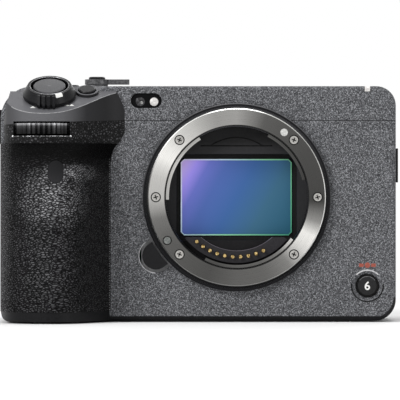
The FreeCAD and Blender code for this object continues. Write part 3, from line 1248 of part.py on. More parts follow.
node(cut("chassis", join("chassis_blank", chassis_plate, *legs), chassis_window, *chassis_bores))

# Light baffle: a disc in the chassis with a rectangular tunnel that ends on the shutter.
baffle_disc = rod("baffle_disc", "y", AXIS, ("-chassis_front", "-chassis_front + baffle_wall"),
                  "throat_radius - fit_gap")
TUNNEL_DEPTH = ("-chassis_front", "-shutter_front")


def centred_box(name, wide, tall, y):
    """A block centred on the optical axis."""
    return box(name, (f"-({wide}) / 2", f"({wide}) / 2"), y,
               (f"axis_height - ({tall}) / 2", f"axis_height + ({tall}) / 2"))


tunnel = centred_box("tunnel", "chamber_wide + 2 * baffle_wall", "chamber_tall + 2 * baffle_wall",
                     TUNNEL_DEPTH)
tunnel_fit = rod("tunnel_fit", "y", AXIS, TUNNEL_DEPTH, "throat_radius - fit_gap")
chamber = centred_box("chamber", "chamber_wide", "chamber_tall", ("-flange_front", "0"))
tunnel_flange = centred_box("tunnel_flange", "chamber_wide + 2 * baffle_wall",
                            "chamber_tall + 2 * baffle_wall",
                            ("-chassis_front + chassis_thick + fit_gap", "-shutter_front"))
node(cut("light_baffle", join("baffle_blank", baffle_disc, keep("tunnel_neck", tunnel, tunnel_fit),
                              tunnel_flange),
         chamber))

# Shutter: a flat box with an opening, and three blades stacked below the opening.
SHUTTER_DEPTH = ("-shutter_front", "-shutter_front + shutter_deep")
gate_low = "axis_height - gate_tall / 2"
stack_low = f"{gate_low} - run_gap - blade_tall"
shutter_box = box("shutter_box", ("-shutter_half", "shutter_half"), SHUTTER_DEPTH,
                  (f"{stack_low} - 3 * shutter_skin", "axis_height + gate_tall / 2 + 4 * shutter_skin"))
shutter_room = box("shutter_room", ("-shutter_half + 2 * shutter_skin", "shutter_half - 2 * shutter_skin"),
                   ("-shutter_front + shutter_skin", "-shutter_front + shutter_deep - shutter_skin"),
                   (f"{stack_low} - shutter_skin", "axis_height + gate_tall / 2 + 2 * shutter_skin"))
gate = centred_box("gate", "gate_wide", "gate_tall", ("-shutter_front - fit_gap", "0"))
node(cut("shutter_frame", shutter_box, shutter_room, gate))
for index in range(BLADE_COUNT):
    front = f"-shutter_front + shutter_skin + run_gap + {index} * (blade_thick + run_gap)"
    node(box(f"shutter_blade_{index + 1}",
             ("-shutter_half + 3 * shutter_skin", "shutter_half - 3 * shutter_skin"),
             (front, f"{front} + blade_thick"), (stack_low, f"{stack_low} + blade_tall")))

# Image sensor on its stabiliser: a fixed base, a frame that moves sideways, and the sensor.
SENSOR_DEPTH = ("-sensor_front", SENSOR_BACK)
sensor_package = centred_box("sensor_package", "sensor_wide", "sensor_tall", SENSOR_DEPTH)
node(sensor_package, "image_sensor")
frame_plate = centred_box("frame_plate", "sensor_wide + 4 * carrier_thick", "sensor_tall + 4 * carrier_thick",
                          FRAME_DEPTH)
frame_window = centred_box("frame_window", "sensor_wide / 2", "sensor_tall / 2", ("-sensor_front", "0"))
node(cut("sensor_frame", frame_plate, frame_window))
base_plate = box("base_plate", ALL_FRAMES, BASE_DEPTH, ("chassis_low", chassis_top))
base_window = centred_box("base_window", "sensor_wide / 2", "sensor_tall / 2", ("-sensor_front", "0"))
node(join("sensor_base", cut("base_ring", base_plate, base_window), *standoffs))

# Main board with its processor, and the heat spreader with fins and the fan's housing.
BOARD_DEPTH = ("board_front", "board_front + board_thick")
board_plate = box("board_plate", ("-board_reach", "chassis_half"), BOARD_DEPTH,
                  ("chassis_low", chassis_top))
processor = centred_box("processor", "processor_wide", "processor_wide",
                        ("board_front - board_thick", "board_front + fit_gap"))
node(join("main_board", board_plate, processor))
SPREADER_DEPTH = ("board_front + board_thick", "board_front + board_thick + duct_thick")
spreader = box("spreader", ("-fin_half", "fan_across - fan_hub"), SPREADER_DEPTH, ("fin_low", "fin_high"))
fins = []
for index in range(FIN_COUNT):
    low = f"fin_low + {index} * (fin_high - fin_low - duct_thick) / {FIN_COUNT - 1}"
    fins.append(box(f"fin_{index}", ("-fin_half", "fin_half"),
                    (f"{SPREADER_DEPTH[1]} - fit_gap", f"{SPREADER_DEPTH[1]} + fin_deep"),
                    (low, f"{low} + duct_thick")))
fan_place = ("fan_across", "fan_height")
FAN_DEPTH = ("-fan_front", "-fan_front + fan_deep")
fan_case = box("fan_case", ("fan_across - fan_wide / 2", "fan_across + fan_wide / 2"), FAN_DEPTH,
               ("fan_height - fan_wide / 2", "fan_height + fan_wide / 2"))
fan_room = rod("fan_room", "y", fan_place, ("-fan_front + duct_thick", "-fan_front + fan_deep - duct_thick"),
               "fan_radius + run_gap")
fan_inlet = rod("fan_inlet", "y", fan_place, ("-fan_front - fit_gap", "-fan_front + 2 * duct_thick"),
                "fan_radius - duct_thick")
fan_outlet = box("fan_outlet", ("fan_across", "fan_across + fan_wide"),
                 ("-fan_front + duct_thick", "-fan_front + fan_deep - duct_thick"),
                 ("fan_height - fan_radius", "fan_height + fan_radius / 2"))
fan_spindle = rod("fan_spindle", "y", fan_place,
                  ("-fan_front + 2 * duct_thick", "-fan_front + fan_deep - duct_thick / 2"),
                  "duct_thick")
fan_arm = box("fan_arm", ("fan_across - fan_wide / 3", "fan_across - fan_hub"),
              ("-fan_front + fan_deep - fit_gap", "board_front + board_thick + duct_thick"),
              ("fan_height - fan_radius", "fan_height + fan_radius"))
node(join("cooling_duct", spreader, *fins, cut("fan_housing", fan_case, fan_room, fan_inlet, fan_outlet),
          fan_arm,
          fan_spindle))

# Fan rotor: a hub on the fixed spindle with flat blades.
fan_rotor = new_body("fan_rotor")
rotor_half = "fan_deep / 2 - duct_thick - run_gap"
turn(fan_rotor, "fan_rotor", [
    ("duct_thick + run_gap", f"-({rotor_half})"), ("fan_hub", f"-({rotor_half})"), ("fan_hub", rotor_half),
    ("duct_thick + run_gap", rotor_half)])
document.recompute()
blade_sketch = new_sketch(fan_rotor, "XY_Plane", "fan_blade", f"-({rotor_half})")
draw_polygon(blade_sketch, [("fan_hub - run_gap", "-run_gap"), ("fan_radius", "fan_hub / 2"),
                            ("fan_radius", "fan_hub / 2 + run_gap"), ("fan_hub - run_gap", "run_gap")])
fan_blade = pad(fan_rotor, blade_sketch, "fan_blade_pad", f"2 * ({rotor_half})")
fan_blades = fan_rotor.newObject("PartDesign::PolarPattern", "fan_blades")
fan_blades.Originals = [fan_blade]
fan_blades.Axis = ([item for item in fan_rotor.Origin.OriginFeatures if item.Role == "Z_Axis"][0], [""])
fan_blades.Angle = 360
fan_blades.Occurrences = FAN_BLADES
fan_rotor.Tip = fan_blades
place(fan_rotor, FACING_FRONT, "fan_across", "-fan_front + fan_deep / 2", "fan_height")
node(fan_rotor)

# Rear cover: the wall, the control pod with its thumb rest, and the openings in both.
rear_block = casing_slab("rear_slab", ("cover_split", "case_back + cover_wall"), ("band_top", "seam_height"))
pod_block = new_body("pod_block")
pod_sketch = new_sketch(pod_block, "XZ_Plane", "pod_outline", "-pod_back")
draw_polygon(pod_sketch, [("-pod_outer", "pod_bottom"), ("-pod_inner", "pod_bottom"),
                          ("-pod_inner", "pod_top"),
                          ("-pod_outer", "pod_top")])
pod_pad = pad(pod_block, pod_sketch, "pod_pad", "pod_back - case_back + cover_wall / 2")
pod_corners = round_corners(pod_block, pod_pad, Vector(0, 1, 0), [("2 * cover_wall", lambda p: True)])
soften(pod_block, pod_corners, "edge_round", lambda edge: abs(middle(edge).y - size("pod_back")) < 1e-6)
thumb = new_body("thumb")
thumb_sketch = new_sketch(thumb, "XY_Plane", "thumb_plan", "thumb_low")
draw_polygon(thumb_sketch, [("-pod_outer + edge_round", "pod_back - cover_wall"),
                            ("-pod_outer + edge_round", "thumb_back - cover_wall"),
                            ("-pod_outer + edge_round + 2 * cover_wall", "thumb_back"),
                            ("-pod_outer + edge_round + thumb_wide / 2", "thumb_back"),
                            ("-pod_outer + edge_round + thumb_wide", "pod_back + cover_wall"),
                            ("-pod_outer + edge_round + thumb_wide + cover_wall",
                             "pod_back - cover_wall / 2"),
                            ("-pod_outer + edge_round + thumb_wide + cover_wall", "pod_back - cover_wall")])
thumb_pad = pad(thumb, thumb_sketch, "thumb_pad", "pod_top - 2 * cover_wall - thumb_low")
soften(thumb, thumb_pad, "2 * cover_wall - edge_round", lambda edge: (
    middle(edge).y > size("pod_back") + 0.1 and not runs_along(edge, Vector(0, 0, 1))))
pod_room = box("pod_room", ("-pod_outer + cover_wall", "-pod_inner - cover_wall"),
               ("case_back - 2 * cover_wall", "pod_back - cover_wall"),
               ("pod_bottom + cover_wall", "pod_top - cover_wall"))
POD_WALL = ("pod_back - cover_wall - fit_gap", "pod_back + cover_wall")
KEYS = {"menu_button": ("-menu_across", "menu_height"),
        "function_button": ("-function_across", "function_height"),
        "playback_button": ("-playback_across", "playback_height")}
wheel_place = ("-wheel_across", "wheel_height")
stick_place = ("-stick_across", "stick_height")
rear_tools = [rear_dial_slot, rear_dial_sweep, shoe_well_outer,
              rod("wheel_hole", "y", wheel_place, POD_WALL, "wheel_radius + run_gap"),
              rod("stick_hole", "y", stick_place, POD_WALL, "stick_cap + 4 * run_gap")]
for name, spot in KEYS.items():
    rear_tools.append(rod(f"{name}_hole", "y", spot, POD_WALL, "key_radius + run_gap"))
CARD_X = ("-grip_side", "-grip_side + flap_thick")
CARD_Z = ("card_door_low", "card_door_high")
card_opening = box("card_opening", ("-grip_side - cover_wall", "-grip_side + cover_wall + fit_gap"),
                   ("card_door_front - run_gap", "card_door_back + run_gap"),
                   ("card_door_low - run_gap", "card_door_high + run_gap"))
FLAPS = {"audio_door": ("audio_low", "audio_high"), "data_door": ("data_low", "data_high")}
rear_tools.append(card_opening)
rear_tools.append(door_opening)
for name, (low, high) in FLAPS.items():
    rear_tools.append(box(f"{name}_opening", ("port_side - cover_wall - fit_gap", "port_side + cover_wall"),
                          ("flap_front - run_gap", "flap_back + run_gap"),
                          (f"{low} - run_gap", f"{high} + run_gap")))
rear_tools.append(grip_socket_hole)
rear_bosses = []
for number, spot in enumerate(REAR_BOSSES):
    rear_bosses.append(boss(f"rear_boss_{number}", spot))
    rear_bosses.append(boss_web(f"rear_web_{number}", spot, "case_back - cover_wall / 2"))
stick_pin_place = ("stick_pivot", "stick_height")
rear_tools.append(rod("gimbal_bearing", "x", stick_pin_place,
                      (f"-stick_across - ({COLLAR_RADIUS}) - fit_gap",
                       f"-stick_across + {COLLAR_RADIUS} + fit_gap"),
                      "gimbal_pin + fit_gap"))
stick_collar = cut("stick_collar_ring",
                   rod("stick_collar", "y", stick_place,
                       ("case_back - cover_wall", "pod_back - cover_wall / 2"), COLLAR_RADIUS),
                   rod("stick_collar_room", "y", stick_place, ("0", "pod_back - cover_wall"),
                       "gimbal_outer + 2 * run_gap"))
rear_hollow = cut("rear_hollow", rear_block, hollow)
rear_solid = join("rear_solid", rear_hollow, pod_block, thumb)
rear_walls = cut("rear_walls", rear_solid, pod_room)
rear_shell = cut("rear_shell", join("rear_with_collar", rear_walls, stick_collar), *rear_tools)
node(join("rear_cover", rear_shell, *rear_bosses))

# Push buttons, wheel with its centre button, and the joystick on its gimbal.
behind_pod = "pod_back - cover_wall - run_gap"
for name, spot in KEYS.items():
    node(push_button(name, "key_radius", "pod_back + key_proud", behind_pod, f"{behind_pod} - key_flange",
                     "back", spot))
wheel = new_body("control_wheel")
turn(wheel, "control_wheel", [
    ("wheel_inner", "pod_back - 2 * cover_wall + run_gap"),
    ("wheel_radius", "pod_back - 2 * cover_wall + run_gap"),
    ("wheel_radius", "pod_back + wheel_proud - run_gap"),
    ("wheel_radius - run_gap", "pod_back + wheel_proud"),
    ("wheel_inner + run_gap", "pod_back + wheel_proud"), ("wheel_inner", "pod_back + wheel_proud - run_gap")])
place(wheel, FACING_BACK, wheel_place[0], "0", wheel_place[1])
node(wheel)
node(push_button("centre_button", "centre_radius - 2 * run_gap", "pod_back + key_proud", behind_pod,
                 f"{behind_pod} - key_flange", "back", wheel_place))
gimbal = new_body("gimbal_ring")
gimbal_back = "stick_pivot + gimbal_thick / 2"
gimbal_front = "stick_pivot - gimbal_thick / 2"
turn(gimbal, "gimbal_ring", [("gimbal_inner", gimbal_front), ("gimbal_outer", gimbal_front),
                                 ("gimbal_outer", gimbal_back), ("gimbal_inner", gimbal_back)])
place(gimbal, FACING_BACK, stick_place[0], "0", stick_place[1])
gimbal_pins = [rod(f"gimbal_pin_{side}", "x", stick_pin_place, span, "gimbal_pin") for side, span in (
    ("outer", (f"-stick_across - ({COLLAR_RADIUS})", "-stick_across - gimbal_inner - cover_wall / 2")),
    ("inner", ("-stick_across + gimbal_inner + cover_wall / 2", f"-stick_across + {COLLAR_RADIUS}")))]
stick_bearing = rod("stick_bearing", "z", ("-stick_across", "stick_pivot"),
                    ("stick_height - gimbal_outer - fit_gap", "stick_height + gimbal_outer + fit_gap"),
                    "gimbal_pin + fit_gap")
node(cut("gimbal_with_pins", join("gimbal_blank", gimbal, *gimbal_pins), stick_bearing), "joystick_gimbal")
joystick = new_body("stick_turned")
turn(joystick, "stick_turned", [
    ("0", gimbal_front), ("gimbal_inner - run_gap - fit_gap", gimbal_front),
    ("gimbal_inner - run_gap - fit_gap", gimbal_back), ("stick_stem", gimbal_back),
    ("stick_stem", "pod_back + key_proud"), ("stick_cap", "pod_back + key_proud"),
    ("stick_cap", "pod_back + stick_proud - 2 * run_gap"),
    ("stick_cap - 2 * run_gap", "pod_back + stick_proud"),
    ("0", "pod_back + stick_proud")])
place(joystick, FACING_BACK, stick_place[0], "0", stick_place[1])
stick_pin = rod("stick_pin", "z", ("-stick_across", "stick_pivot"),
                ("stick_height - gimbal_outer + run_gap", "stick_height + gimbal_outer - run_gap"),
                "gimbal_pin")
node(join("stick_with_pin", joystick, stick_pin), "joystick")

# Doors on the sides: plates with a barrel along an upright hinge.
card_axis = ("-grip_side + flap_thick / 2", "card_door_back - flap_thick / 2")
node(join("card_door", box("card_plate", CARD_X, ("card_door_front", card_axis[1]), CARD_Z),
          rod("card_barrel", "z", card_axis, CARD_Z, "flap_thick / 2")))
flap_axis = ("port_side - flap_thick / 2", "flap_front + flap_thick / 2")
for name, level in FLAPS.items():
    node(join(name, box(f"{name}_plate", ("port_side - flap_thick", "port_side"),
                        (flap_axis[1], "flap_back"), level),
              rod(f"{name}_barrel", "z", flap_axis, level, "flap_thick / 2")))

# Card unit with two card slots, and the sockets on their side board.
card_front = "battery_deep - battery_front + run_gap + fit_gap"
card_body = box("card_body", ("-battery_side + fit_gap", "-card_unit_inner"),
                (card_front, f"{card_front} + card_unit_deep"),
                ("card_unit_low", "card_unit_high"))
card_foot = box("card_foot", ("-board_reach + fit_gap", "-card_unit_inner"),
                ("board_front + board_thick", f"{card_front} + fit_gap"), ("card_unit_low", "card_unit_high"))
card_middle = "(card_unit_low + card_unit_high) / 2"
card_slots = []
for index in range(2):
    depth = f"{card_front} + card_unit_deep * (2 * {index} + 1) / 4"
    card_slots.append(box(f"card_slot_{index}", ("-grip_side", "-card_unit_inner - cover_wall"),
                          (f"{depth} - card_slot_thick / 2", f"{depth} + card_slot_thick / 2"),
                          (f"{card_middle} - card_slot_tall / 2", f"{card_middle} + card_slot_tall / 2")))
node(cut("card_unit", join("card_blank", card_body, card_foot), *card_slots))

SOCKET_X = ("port_board + fit_gap", "port_side - flap_thick - 4 * fit_gap")
flap_middle = "(flap_front + flap_back) / 2"
port_board = box("port_board_plate", ("port_board - duct_thick", "port_board + 2 * fit_gap"),
                 ("board_front", "flap_back - edge_round"),
                 ("data_low + edge_round", "audio_high - edge_round"))
jacks = []
for index in range(2):
    level = f"audio_low + (audio_high - audio_low) * (2 * {index} + 1) / 4"
    jack = rod(f"jack_{index}", "x", (flap_middle, level), SOCKET_X, "2 * jack_radius")
    jacks.append(cut(f"jack_drilled_{index}", jack, rod(f"jack_bore_{index}", "x", (flap_middle, level),
                                                        ("port_board + 2 * flap_thick", "port_side"),
                                                        "jack_radius")))
SOCKETS = {"picture_socket": ("picture_height", "picture_wide", "picture_deep"),
           "data_socket": ("data_height", "data_wide", "data_deep")}
for name, (level, tall, deep) in SOCKETS.items():
    shell = box(name, SOCKET_X, (f"{flap_middle} - {deep} / 2", f"{flap_middle} + {deep} / 2"),
                (f"{level} - {tall} / 2", f"{level} + {tall} / 2"))
    mouth = box(f"{name}_mouth", ("port_board + 2 * flap_thick", "port_side"),
                (f"{flap_middle} - {deep} / 2 + socket_skin", f"{flap_middle} + {deep} / 2 - socket_skin"),
                (f"{level} - {tall} / 2 + socket_skin", f"{level} + {tall} / 2 - socket_skin"))
    jacks.append(cut(f"{name}_open", shell, mouth))
node(join("port_sockets", port_board, *jacks))

# Monitor on its upright side hinge, with the screen in its outer face.
hinge_place = ("monitor_axis_across", "monitor_axis_back")
panel_left = "monitor_axis_across - monitor_setback - monitor_wide"
panel_right = "monitor_axis_across - monitor_setback"
PANEL_DEPTH = ("monitor_axis_back - monitor_thick / 2", "monitor_axis_back + monitor_thick / 2")
PANEL_LEVEL = ("monitor_low", "monitor_high")
monitor_panel = new_body("monitor_panel")
panel_sketch = new_sketch(monitor_panel, "XZ_Plane", "monitor_outline", f"-({PANEL_DEPTH[1]})")
draw_polygon(panel_sketch, [(panel_left, "monitor_low"), (panel_right, "monitor_low"),
                            (panel_right, "monitor_high"),
                            (panel_left, "monitor_high")])
panel_pad = pad(monitor_panel, panel_sketch, "monitor_pad", "monitor_thick")
panel_corners = round_corners(monitor_panel, panel_pad, Vector(0, 1, 0), [("cover_wall", lambda p: True)])
soften(monitor_panel, panel_corners, "edge_round / 2",
       lambda edge: abs(middle(edge).y - size(PANEL_DEPTH[1])) < 1e-6)
SCREEN_DEPTH = (f"{PANEL_DEPTH[1]} - screen_thick", PANEL_DEPTH[1])
monitor_middle = "(monitor_low + monitor_high) / 2"
screen_x = f"{panel_left} + monitor_wide / 2"


def screen_box(name, gap, depth):
    return box(name, (f"{screen_x} - screen_wide / 2 - {gap}", f"{screen_x} + screen_wide / 2 + {gap}"),
               depth,
               (f"{monitor_middle} - screen_tall / 2 - {gap}", f"{monitor_middle} + screen_tall / 2 + {gap}"))


screen_pit = screen_box("screen_pit", "fit_gap / 2", (SCREEN_DEPTH[0], f"{PANEL_DEPTH[1]} + fit_gap"))
MOVING_SPAN = ("monitor_low + knuckle_end + knuckle_long + run_gap",
               "monitor_high - knuckle_end - knuckle_long - run_gap")
monitor_web = box("monitor_web", (f"{panel_right} - cover_wall / 2", "monitor_axis_across"),
                  ("monitor_axis_back - cover_wall", "monitor_axis_back + cover_wall"), MOVING_SPAN)
monitor_barrel = rod("monitor_barrel", "z", hinge_place, MOVING_SPAN, "knuckle_radius")
monitor_bore = rod("monitor_bore", "z", hinge_place, ("0", "case_top"), "pin_radius + run_gap / 2")
node(cut("monitor", join("monitor_blank", monitor_panel, monitor_web, monitor_barrel), monitor_bore,
         screen_pit))
node(screen_box("monitor_screen", "0", SCREEN_DEPTH))
bracket_parts = [rod("hinge_pin", "z", hinge_place,
                     ("monitor_low + knuckle_end", "monitor_high - knuckle_end"), "pin_radius")]
for name, low in (("foot", "monitor_low + knuckle_end"),
                  ("head", "monitor_high - knuckle_end - knuckle_long")):
    level = (low, f"{low} + knuckle_long")
    bracket_parts.append(rod(f"knuckle_{name}", "z", hinge_place, level, "knuckle_radius"))
    bracket_parts.append(box(f"bracket_{name}", ("monitor_axis_across - cover_wall",
                                                 "monitor_axis_across + cover_wall - fit_gap"),
                             ("case_back", "monitor_axis_back"), level))
bracket_parts.append(box("bracket_strip",
                         ("monitor_axis_across - cover_wall", "monitor_axis_across + cover_wall - fit_gap"),
                         ("case_back", "case_back + cover_wall / 4"),
                         ("monitor_low + knuckle_end", "monitor_high - knuckle_end")))
node(join("monitor_bracket", *bracket_parts))

# Threaded sockets: one in the base, three in the top and one in each side.
def threaded_insert(name, rotation, x, y, z):
    """A blind insert whose mouth is at its own origin and which runs down its own Z axis."""
    insert = new_body(name)
    turn(insert, name, [("thread_radius", "0"), ("insert_radius", "0"),
                        ("insert_radius", "-thread_deep - edge_round"),
                        ("0", "-thread_deep - edge_round"), ("0", "-thread_deep"),
                        ("thread_radius", "-thread_deep")])
    place(insert, rotation, x, y, z)
    return insert


tripod_insert = new_body("tripod_insert")
turn(tripod_insert, "tripod_insert", [
    ("thread_radius", "0"), ("tripod_radius", "0"), ("tripod_radius", "band_top"),
    ("tripod_plate", "band_top"),
    ("tripod_plate", "band_top + edge_round"), ("tripod_radius", "band_top + edge_round"),
    ("tripod_radius", "thread_deep + edge_round"), ("0", "thread_deep + edge_round"), ("0", "thread_deep"),
    ("thread_radius", "thread_deep")])
inserts = [tripod_insert]
for number, (across, back) in enumerate(TOP_SOCKETS):
    inserts.append(threaded_insert(f"top_insert_{number}", UPRIGHT, across, back, "case_top"))
inserts.append(threaded_insert("port_insert", FACING_RIGHT, "port_side", "-port_socket_front",
                               "port_socket_height"))
inserts.append(threaded_insert("grip_insert", FACING_LEFT, "-grip_side", "grip_socket_back",
                               "grip_socket_height"))
node(group("thread_sockets", *inserts))

# Strap lugs: slotted plates on the sides.
lugs = []
for name, x, low in (("port", ("port_side", "port_side + lug_proud"), "port_lug_low"),
                     ("grip", ("-grip_side - lug_proud", "-grip_side"), "grip_lug_low")):
    plate = box(f"{name}_lug_plate", x, ("-lug_front", "-lug_front + lug_deep"), (low, f"{low} + lug_tall"))
    slot = box(f"{name}_lug_slot", (f"{x[0]} - fit_gap", f"{x[1]} + fit_gap"),
               ("-lug_front + (lug_deep - lug_slot) / 2", "-lug_front + (lug_deep + lug_slot) / 2"),
               (f"{low} + lug_slot", f"{low} + lug_tall - lug_slot"))
    lugs.append(cut(f"{name}_lug", plate, slot))
node(group("strap_lugs", *lugs))


# Check every object, then write each piece to its own file.
document.recompute()
for item in document.Objects:
    if "Invalid" in item.State or "Error" in item.State:
        raise RuntimeError(f"{item.Name} failed: {item.State}")
os.makedirs("parts", exist_ok=True)
for piece in nodes:
    shape = piece.Shape
    if shape.isNull() or not shape.isValid() or not shape.Solids:
        raise RuntimeError(f"{piece.Label} has no sound shape")
    shape.exportStep(f"parts/{piece.Label}.step")
    print(piece.Label, len(shape.Solids), round(shape.Volume, 1))
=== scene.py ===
import math

import bmesh
import bpy
from mathutils import Matrix, Vector


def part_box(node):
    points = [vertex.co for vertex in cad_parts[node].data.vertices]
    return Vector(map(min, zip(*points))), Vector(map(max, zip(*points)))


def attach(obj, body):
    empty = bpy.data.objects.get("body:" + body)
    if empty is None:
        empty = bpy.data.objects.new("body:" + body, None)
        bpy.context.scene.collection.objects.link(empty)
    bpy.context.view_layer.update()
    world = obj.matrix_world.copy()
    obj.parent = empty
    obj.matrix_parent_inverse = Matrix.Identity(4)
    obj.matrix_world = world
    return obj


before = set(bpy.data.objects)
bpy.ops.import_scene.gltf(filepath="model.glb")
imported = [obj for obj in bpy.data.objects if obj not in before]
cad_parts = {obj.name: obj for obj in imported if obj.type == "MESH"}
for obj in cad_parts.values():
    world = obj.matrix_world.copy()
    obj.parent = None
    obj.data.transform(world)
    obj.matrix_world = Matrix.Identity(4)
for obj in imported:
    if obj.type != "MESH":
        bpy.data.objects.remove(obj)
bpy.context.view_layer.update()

# Camera: a long lens looks straight at the front from 1.3 m ahead of the lens flange, a little to
# the grip's side of the mount. At that distance the sides stay out of view.
FLANGE_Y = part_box("lens_mount")[0].y
VIEW_DISTANCE = 1.3
VIEW_WIDTH = 0.1285
VIEW_SIDE = -0.0118
VIEW_LEVEL = 0.0393
SENSOR_WIDTH_MM = 36.0
long_lens = bpy.data.cameras.new("long_lens")
long_lens.sensor_width = SENSOR_WIDTH_MM
long_lens.lens = SENSOR_WIDTH_MM * VIEW_DISTANCE / VIEW_WIDTH
view_camera = bpy.data.objects.new("view_camera", long_lens)
view_camera.location = (VIEW_SIDE, FLANGE_Y - VIEW_DISTANCE, VIEW_LEVEL)
view_camera.rotation_euler = (math.radians(90), 0, 0)
bpy.context.scene.collection.objects.link(view_camera)
bpy.context.scene.camera = view_camera
bpy.context.scene.view_settings.view_transform = "Standard"


# Table: a white laminate top that the body stands on. It keeps the body's soft shadow, and ends a
# hand's width behind it.
def new_finish(name, colour, roughness, metallic=0.0, specular=0.5):
    """A material with plain values on its shader's own sockets."""
    finish = bpy.data.materials.new(name)
    finish.use_nodes = True
    shader = finish.node_tree.nodes["Principled BSDF"]
    shader.inputs["Base Color"].default_value = (*colour, 1)
    shader.inputs["Roughness"].default_value = roughness
    shader.inputs["Metallic"].default_value = metallic
    shader.inputs["Specular IOR Level"].default_value = specular
    return finish


TABLE_HALF = 0.7
TABLE_AHEAD = 1.4
TABLE_BEHIND = 0.22
table_mesh = bpy.data.meshes.new("table")
table_mesh.from_pydata([(-TABLE_HALF, -TABLE_AHEAD, 0), (TABLE_HALF, -TABLE_AHEAD, 0),
                        (TABLE_HALF, TABLE_BEHIND, 0), (-TABLE_HALF, TABLE_BEHIND, 0)], [], [(0, 1, 2, 3)])
table = bpy.data.objects.new("table", table_mesh)
bpy.context.scene.collection.objects.link(table)
table_mesh.materials.append(new_finish("white_laminate", (0.92, 0.92, 0.92), 0.9, specular=0.1))

# Room light: white walls that look white from the camera, in metal and through glass, and light
# the body at less than half that strength.
ROOM_LIGHT = 0.38
room = bpy.data.worlds.new("room")
room.use_nodes = True
bpy.context.scene.world = room
walls = room.node_tree.nodes["Background"]
walls.inputs["Color"].default_value = (1, 1, 1, 1)
seen_by = room.node_tree.nodes.new("ShaderNodeLightPath")
seen = seen_by.outputs["Is Camera Ray"]
for other in ("Is Glossy Ray", "Is Transmission Ray"):
    either = room.node_tree.nodes.new("ShaderNodeMath")
    either.operation = "MAXIMUM"
    room.node_tree.links.new(seen, either.inputs[0])
    room.node_tree.links.new(seen_by.outputs[other], either.inputs[1])
    seen = either.outputs[0]
wall_light = room.node_tree.nodes.new("ShaderNodeMapRange")
wall_light.inputs["To Min"].default_value = ROOM_LIGHT
wall_light.inputs["To Max"].default_value = 1.0
room.node_tree.links.new(seen, wall_light.inputs["Value"])
room.node_tree.links.new(wall_light.outputs["Result"], walls.inputs["Strength"])

# Lamps: a soft box high on the grip's side, a weaker one on the port side, one overhead and one
# behind.
LAMP_TARGET = Vector((-0.012, 0, 0.038))
for name, place, width, power in (("key_box", (-0.75, -0.85, 0.65), 0.4, 10.0),
                                  ("fill_box", (0.9, -0.8, 0.1), 0.5, 2.6),
                                  ("overhead_box", (0.0, -0.1, 0.9), 0.5, 3.4),
                                  ("rear_box", (0.2, 1.0, 0.7), 0.7, 4.0)):
    soft_box = bpy.data.lights.new(name, "AREA")
    soft_box.size = width
    soft_box.energy = power
    stand = bpy.data.objects.new(name, soft_box)
    stand.location = place
    stand.rotation_euler = (LAMP_TARGET - Vector(place)).to_track_quat("-Z", "Y").to_euler()
    bpy.context.scene.collection.objects.link(stand)


# Covers: cast magnesium under dark grey paint with light and dark flecks, slightly rough to the
# touch. The seam under the top cover stays dark, and the lower port-side corner has painted shade.
def lay(finish, kind, sockets=None, **settings):
    """One more shader node. A socket takes a number, a colour, or another node's output."""
    step = finish.node_tree.nodes.new(kind)
    for key, value in settings.items():
        setattr(step, key, value)
    for key, value in (sockets or {}).items():
        if isinstance(value, bpy.types.NodeSocket):
            finish.node_tree.links.new(value, step.inputs[key])
        else:
            step.inputs[key].default_value = value
    return step


def wire(finish, output, socket):
    shader = finish.node_tree.nodes["Principled BSDF"]
    finish.node_tree.links.new(output, shader.inputs[socket])


def spot(finish, stretch=(1, 1, 1), turn=(0, 0, 0)):
    """The point of the object in metres, stretched and turned where a grain runs one way."""
    place = lay(finish, "ShaderNodeTexCoord").outputs["Object"]
    grain = lay(finish, "ShaderNodeMapping", {"Vector": place, "Scale": stretch, "Rotation": turn})
    return grain.outputs["Vector"]


def axes(finish):
    """The point of the object again, as three values: X, Y and Z."""
    return lay(finish, "ShaderNodeSeparateXYZ", {"Vector": spot(finish)}).outputs


def mottle(finish, size, detail=2.0):
    """Cloudy noise whose blobs are about one size across."""
    return lay(finish, "ShaderNodeTexNoise", {
        "Vector": spot(finish), "Scale": 1 / size, "Detail": detail}).outputs["Fac"]


def carry(finish, value, low, high, start, end):
    """Carry a value's stretch from low to high over to the stretch from start to end."""
    return lay(finish, "ShaderNodeMapRange", {
        "Value": value, "From Min": low, "From Max": high, "To Min": start, "To Max": end}
    ).outputs["Result"]


BLOB_DARK = 0.3
BLOB_LIGHT = 0.7


def vary_gloss(finish, blobs, low, high):
    """Let the roughness run from low to high between the dark and the light of the blobs."""
    wire(finish, carry(finish, blobs, BLOB_DARK, BLOB_LIGHT, low, high), "Roughness")


def shades(finish, factor, *stops):
    """Colours along a factor: each stop is a place and a colour."""
    ramp = lay(finish, "ShaderNodeValToRGB", {"Fac": factor})
    band = ramp.color_ramp
    while len(band.elements) < len(stops):
        band.elements.new(0.5)
    for element, (place, colour) in zip(band.elements, stops):
        element.position = place
        element.color = (*colour, 1)
    return ramp.outputs["Color"]


def emboss(finish, height, depth, strength=1.0):
    """Raise the surface by a height from 0 to 1, over a depth in metres."""
    raised = lay(finish, "ShaderNodeBump", {"Height": height, "Distance": depth, "Strength": strength})
    wire(finish, raised.outputs["Normal"], "Normal")


def coat(finish, *nodes):
    """Give CAD nodes a finish in place of their plain one."""
    for name in nodes:
        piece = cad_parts[name]
        if not piece.material_slots:
            piece.data.materials.append(finish)
        for slot in piece.material_slots:
            slot.material = finish


def reckon(finish, operation, *values):
    """The result of one sum on numbers or on other nodes' outputs."""
    return lay(finish, "ShaderNodeMath", dict(enumerate(values)), operation=operation).outputs[0]


def beyond(finish, place, centre, half):
    """How far a coordinate lies past half a width from its centre."""
    offset = reckon(finish, "SUBTRACT", place, centre)
    length = reckon(finish, "ABSOLUTE", offset)
    return reckon(finish, "SUBTRACT", length, half)


COLOUR_INPUTS = 6, 7
COLOUR_OUTPUT = 2


